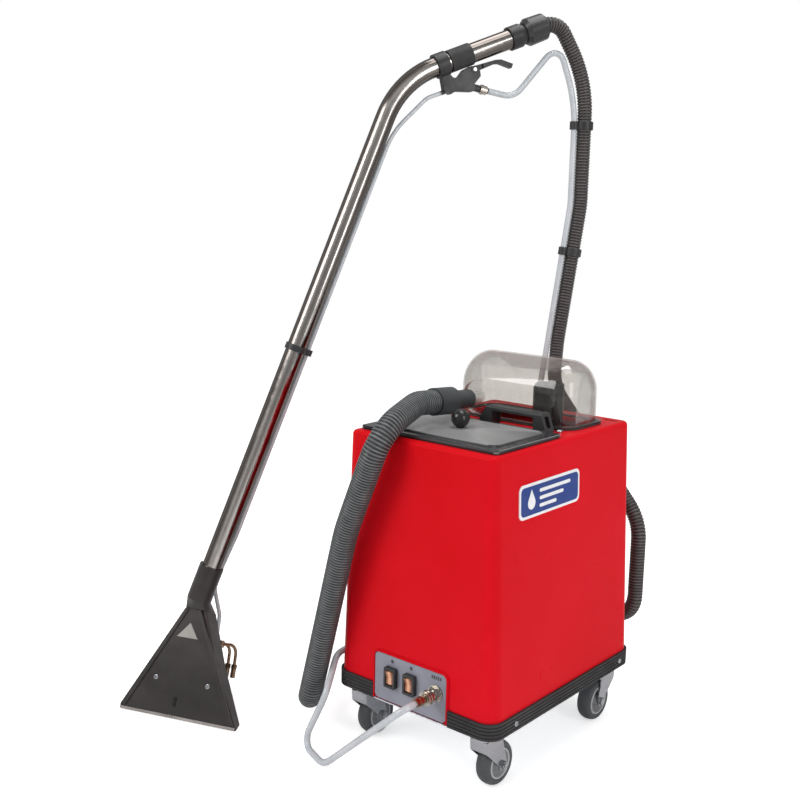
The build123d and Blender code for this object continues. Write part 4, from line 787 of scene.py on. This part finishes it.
def drop_outline():
    """A drop: most of a circle, drawn up to a point."""
    x, y = DROP_PLACE
    outline = []
    for k in range(25):
        angle = math.radians(-210 + 240 * k / 24)
        outline.append((x + DROP_RADIUS * math.cos(angle), y + DROP_RADIUS * math.sin(angle)))
    outline.append((x, DROP_TIP))
    return outline


def build_badge():
    """Blue field inside the white border, with a plain drop and three bars as a stand-in mark."""
    plane = face_plane("badge_plate", (1, 0, 0), (0, 1, 0))
    field = prism("badge_field", plane, rounded_rectangle(*BADGE_FIELD), -0.2 * MM, 0.5 * MM, BADGE_BLUE)
    fasten(field, "chassis")
    shapes = [drop_outline()]
    for k, length in enumerate(BAR_LENGTHS):
        bar = rounded_rectangle(length, BAR_HEIGHT, BAR_HEIGHT / 2, 6)
        shapes.append([(x + BAR_START + length / 2, y + BAR_SPACING * (1 - k)) for x, y in bar])
    for k, outline in enumerate(shapes):
        mark = prism(f"badge_mark_{k}", plane, outline, 0.4 * MM, 0.8 * MM, BADGE_WHITE)
        fasten(mark, "chassis")


def build_panel_marks():
    """Small plain marks over the switches and the coupling."""
    low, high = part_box("control_panel")
    plane = Matrix.Translation((0, low[1], 0)) @ Matrix(((1, 0, 0), (0, 0, -1), (0, 1, 0))).to_4x4()
    level = high[2] - MARK_BELOW_TOP
    marks = {}
    turns = [t * math.pi / 8 for t in range(16)]
    for k, name in enumerate(("pump_rocker", "vacuum_rocker")):
        x = box_middle(name).x
        marks[f"panel_dot_{k}"] = [(x + DOT_RADIUS * math.cos(t), level + DOT_RADIUS * math.sin(t))
                                   for t in turns]
    coupling = box_middle("coupling_socket")
    for k in range(5):
        bar = rounded_rectangle(3 * MM, (6 + 1.2 * (k % 2)) * MM, 1 * MM, 3)
        marks[f"panel_bar_{k}"] = [(x + coupling.x + (k - 2) * MARK_SPACING, y + level) for x, y in bar]
    for name, outline in marks.items():
        mark = prism(name, plane, outline, -0.2 * MM, 0.3 * MM, MARK_GREY)
        fasten(mark, "chassis")


def build_tool_details():
    """Raised side flanges, the pale triangular window and a small tab on the tool's front plate."""
    low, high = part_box("tool_front_plate")
    width = high[0] - low[0]
    x_axis = (width, width * math.tan(math.radians(TOOL_TURN)), 0)
    plane = face_plane("tool_front_plate", (0.3, -0.86, 0.36), x_axis)
    foot_level = -PLATE_HALF_HEIGHT + 2 * MM
    for name, side in (("tool_flange_left", -1), ("tool_flange_right", 1)):
        outline = [(side * PLATE_FOOT, foot_level),
                   (side * PLATE_TOP, PLATE_HALF_HEIGHT),
                   (side * (PLATE_TOP - 8 * MM), PLATE_HALF_HEIGHT),
                   (side * (PLATE_FOOT - 11 * MM), foot_level)]
        flange = prism(name, plane, outline, -0.5 * MM, 2.6 * MM, TOOL_BLACK)
        fasten(flange, "wand")
    triangle = [(-26 * MM, 46 * MM), (20 * MM, 46 * MM), (-1 * MM, 75 * MM)]
    window = prism("tool_window", plane, triangle, -0.2 * MM, 0.6 * MM, WINDOW_GREY)
    fasten(window, "wand")
    outline = [(x - 6 * MM, y - 76 * MM) for x, y in rounded_rectangle(6 * MM, 18 * MM, 2 * MM)]
    tab = prism("tool_tab", plane, outline, -0.2 * MM, 1.2 * MM, GLOSS_BLACK)
    fasten(tab, "wand")


# ---------------------------------------------------------------- studio

def build_world():
    """White backdrop for the camera, a dimmer even light for everything else."""
    world = bpy.data.worlds.new("studio")
    bpy.context.scene.world = world
    world.use_nodes = True
    tree = world.node_tree
    background = tree.nodes["Background"]
    background.inputs["Color"].default_value = (1.0, 1.0, 1.0, 1)
    path = tree.nodes.new("ShaderNodeLightPath")
    level = tree.nodes.new("ShaderNodeMapRange")
    level.inputs["To Min"].default_value = 0.5
    level.inputs["To Max"].default_value = 1.0
    tree.links.new(path.outputs["Is Camera Ray"], level.inputs["Value"])
    tree.links.new(level.outputs["Result"], background.inputs["Strength"])


def build_floor():
    corners = [(-FLOOR_REACH, -FLOOR_REACH, 0), (FLOOR_REACH, -FLOOR_REACH, 0),
               (FLOOR_REACH, FLOOR_REACH, 0), (-FLOOR_REACH, FLOOR_REACH, 0)]
    floor = make_object("studio_floor", corners, [(0, 1, 2, 3)], studio_floor())


def build_lights():
    """Three soft boxes that all face the middle of the machine."""
    for name, place, width, height, power in LIGHTS:
        data = bpy.data.lights.new(name, "AREA")
        data.shape = "RECTANGLE"
        data.size = width
        data.size_y = height
        data.energy = power
        light = bpy.data.objects.new(name, data)
        light.location = place
        aim = Vector(LIGHT_TARGET) - Vector(place)
        light.rotation_euler = aim.to_track_quat("-Z", "Y").to_euler()
        bpy.context.scene.collection.objects.link(light)


def build_camera():
    """Long lens at standing height, turned 40 degrees to the right of the front."""
    azimuth, elevation, roll = (math.radians(a) for a in CAMERA_ANGLES)
    back = Vector((math.sin(azimuth) * math.cos(elevation), -math.cos(azimuth) * math.cos(elevation),
                   math.sin(elevation)))
    right = Vector((math.cos(azimuth), math.sin(azimuth), 0))
    up = back.cross(right)
    across = right * math.cos(roll) + up * math.sin(roll)
    upright = up * math.cos(roll) - right * math.sin(roll)
    data = bpy.data.cameras.new("camera")
    data.sensor_width = SENSOR_WIDTH
    data.lens = CAMERA_LENS
    camera = bpy.data.objects.new("camera", data)
    turn = Matrix((across, upright, back)).transposed().to_4x4()
    camera.matrix_world = Matrix.Translation(CAMERA_PLACE) @ turn
    bpy.context.scene.collection.objects.link(camera)
    bpy.context.scene.camera = camera


build_suction_hose()
build_wand_hose()
build_solution_tube()
build_spray_tube()
build_wheels()
build_badge()
build_panel_marks()
build_tool_details()
build_floor()
build_world()
build_lights()
build_camera()
bpy.context.scene.view_settings.view_transform = "Standard"
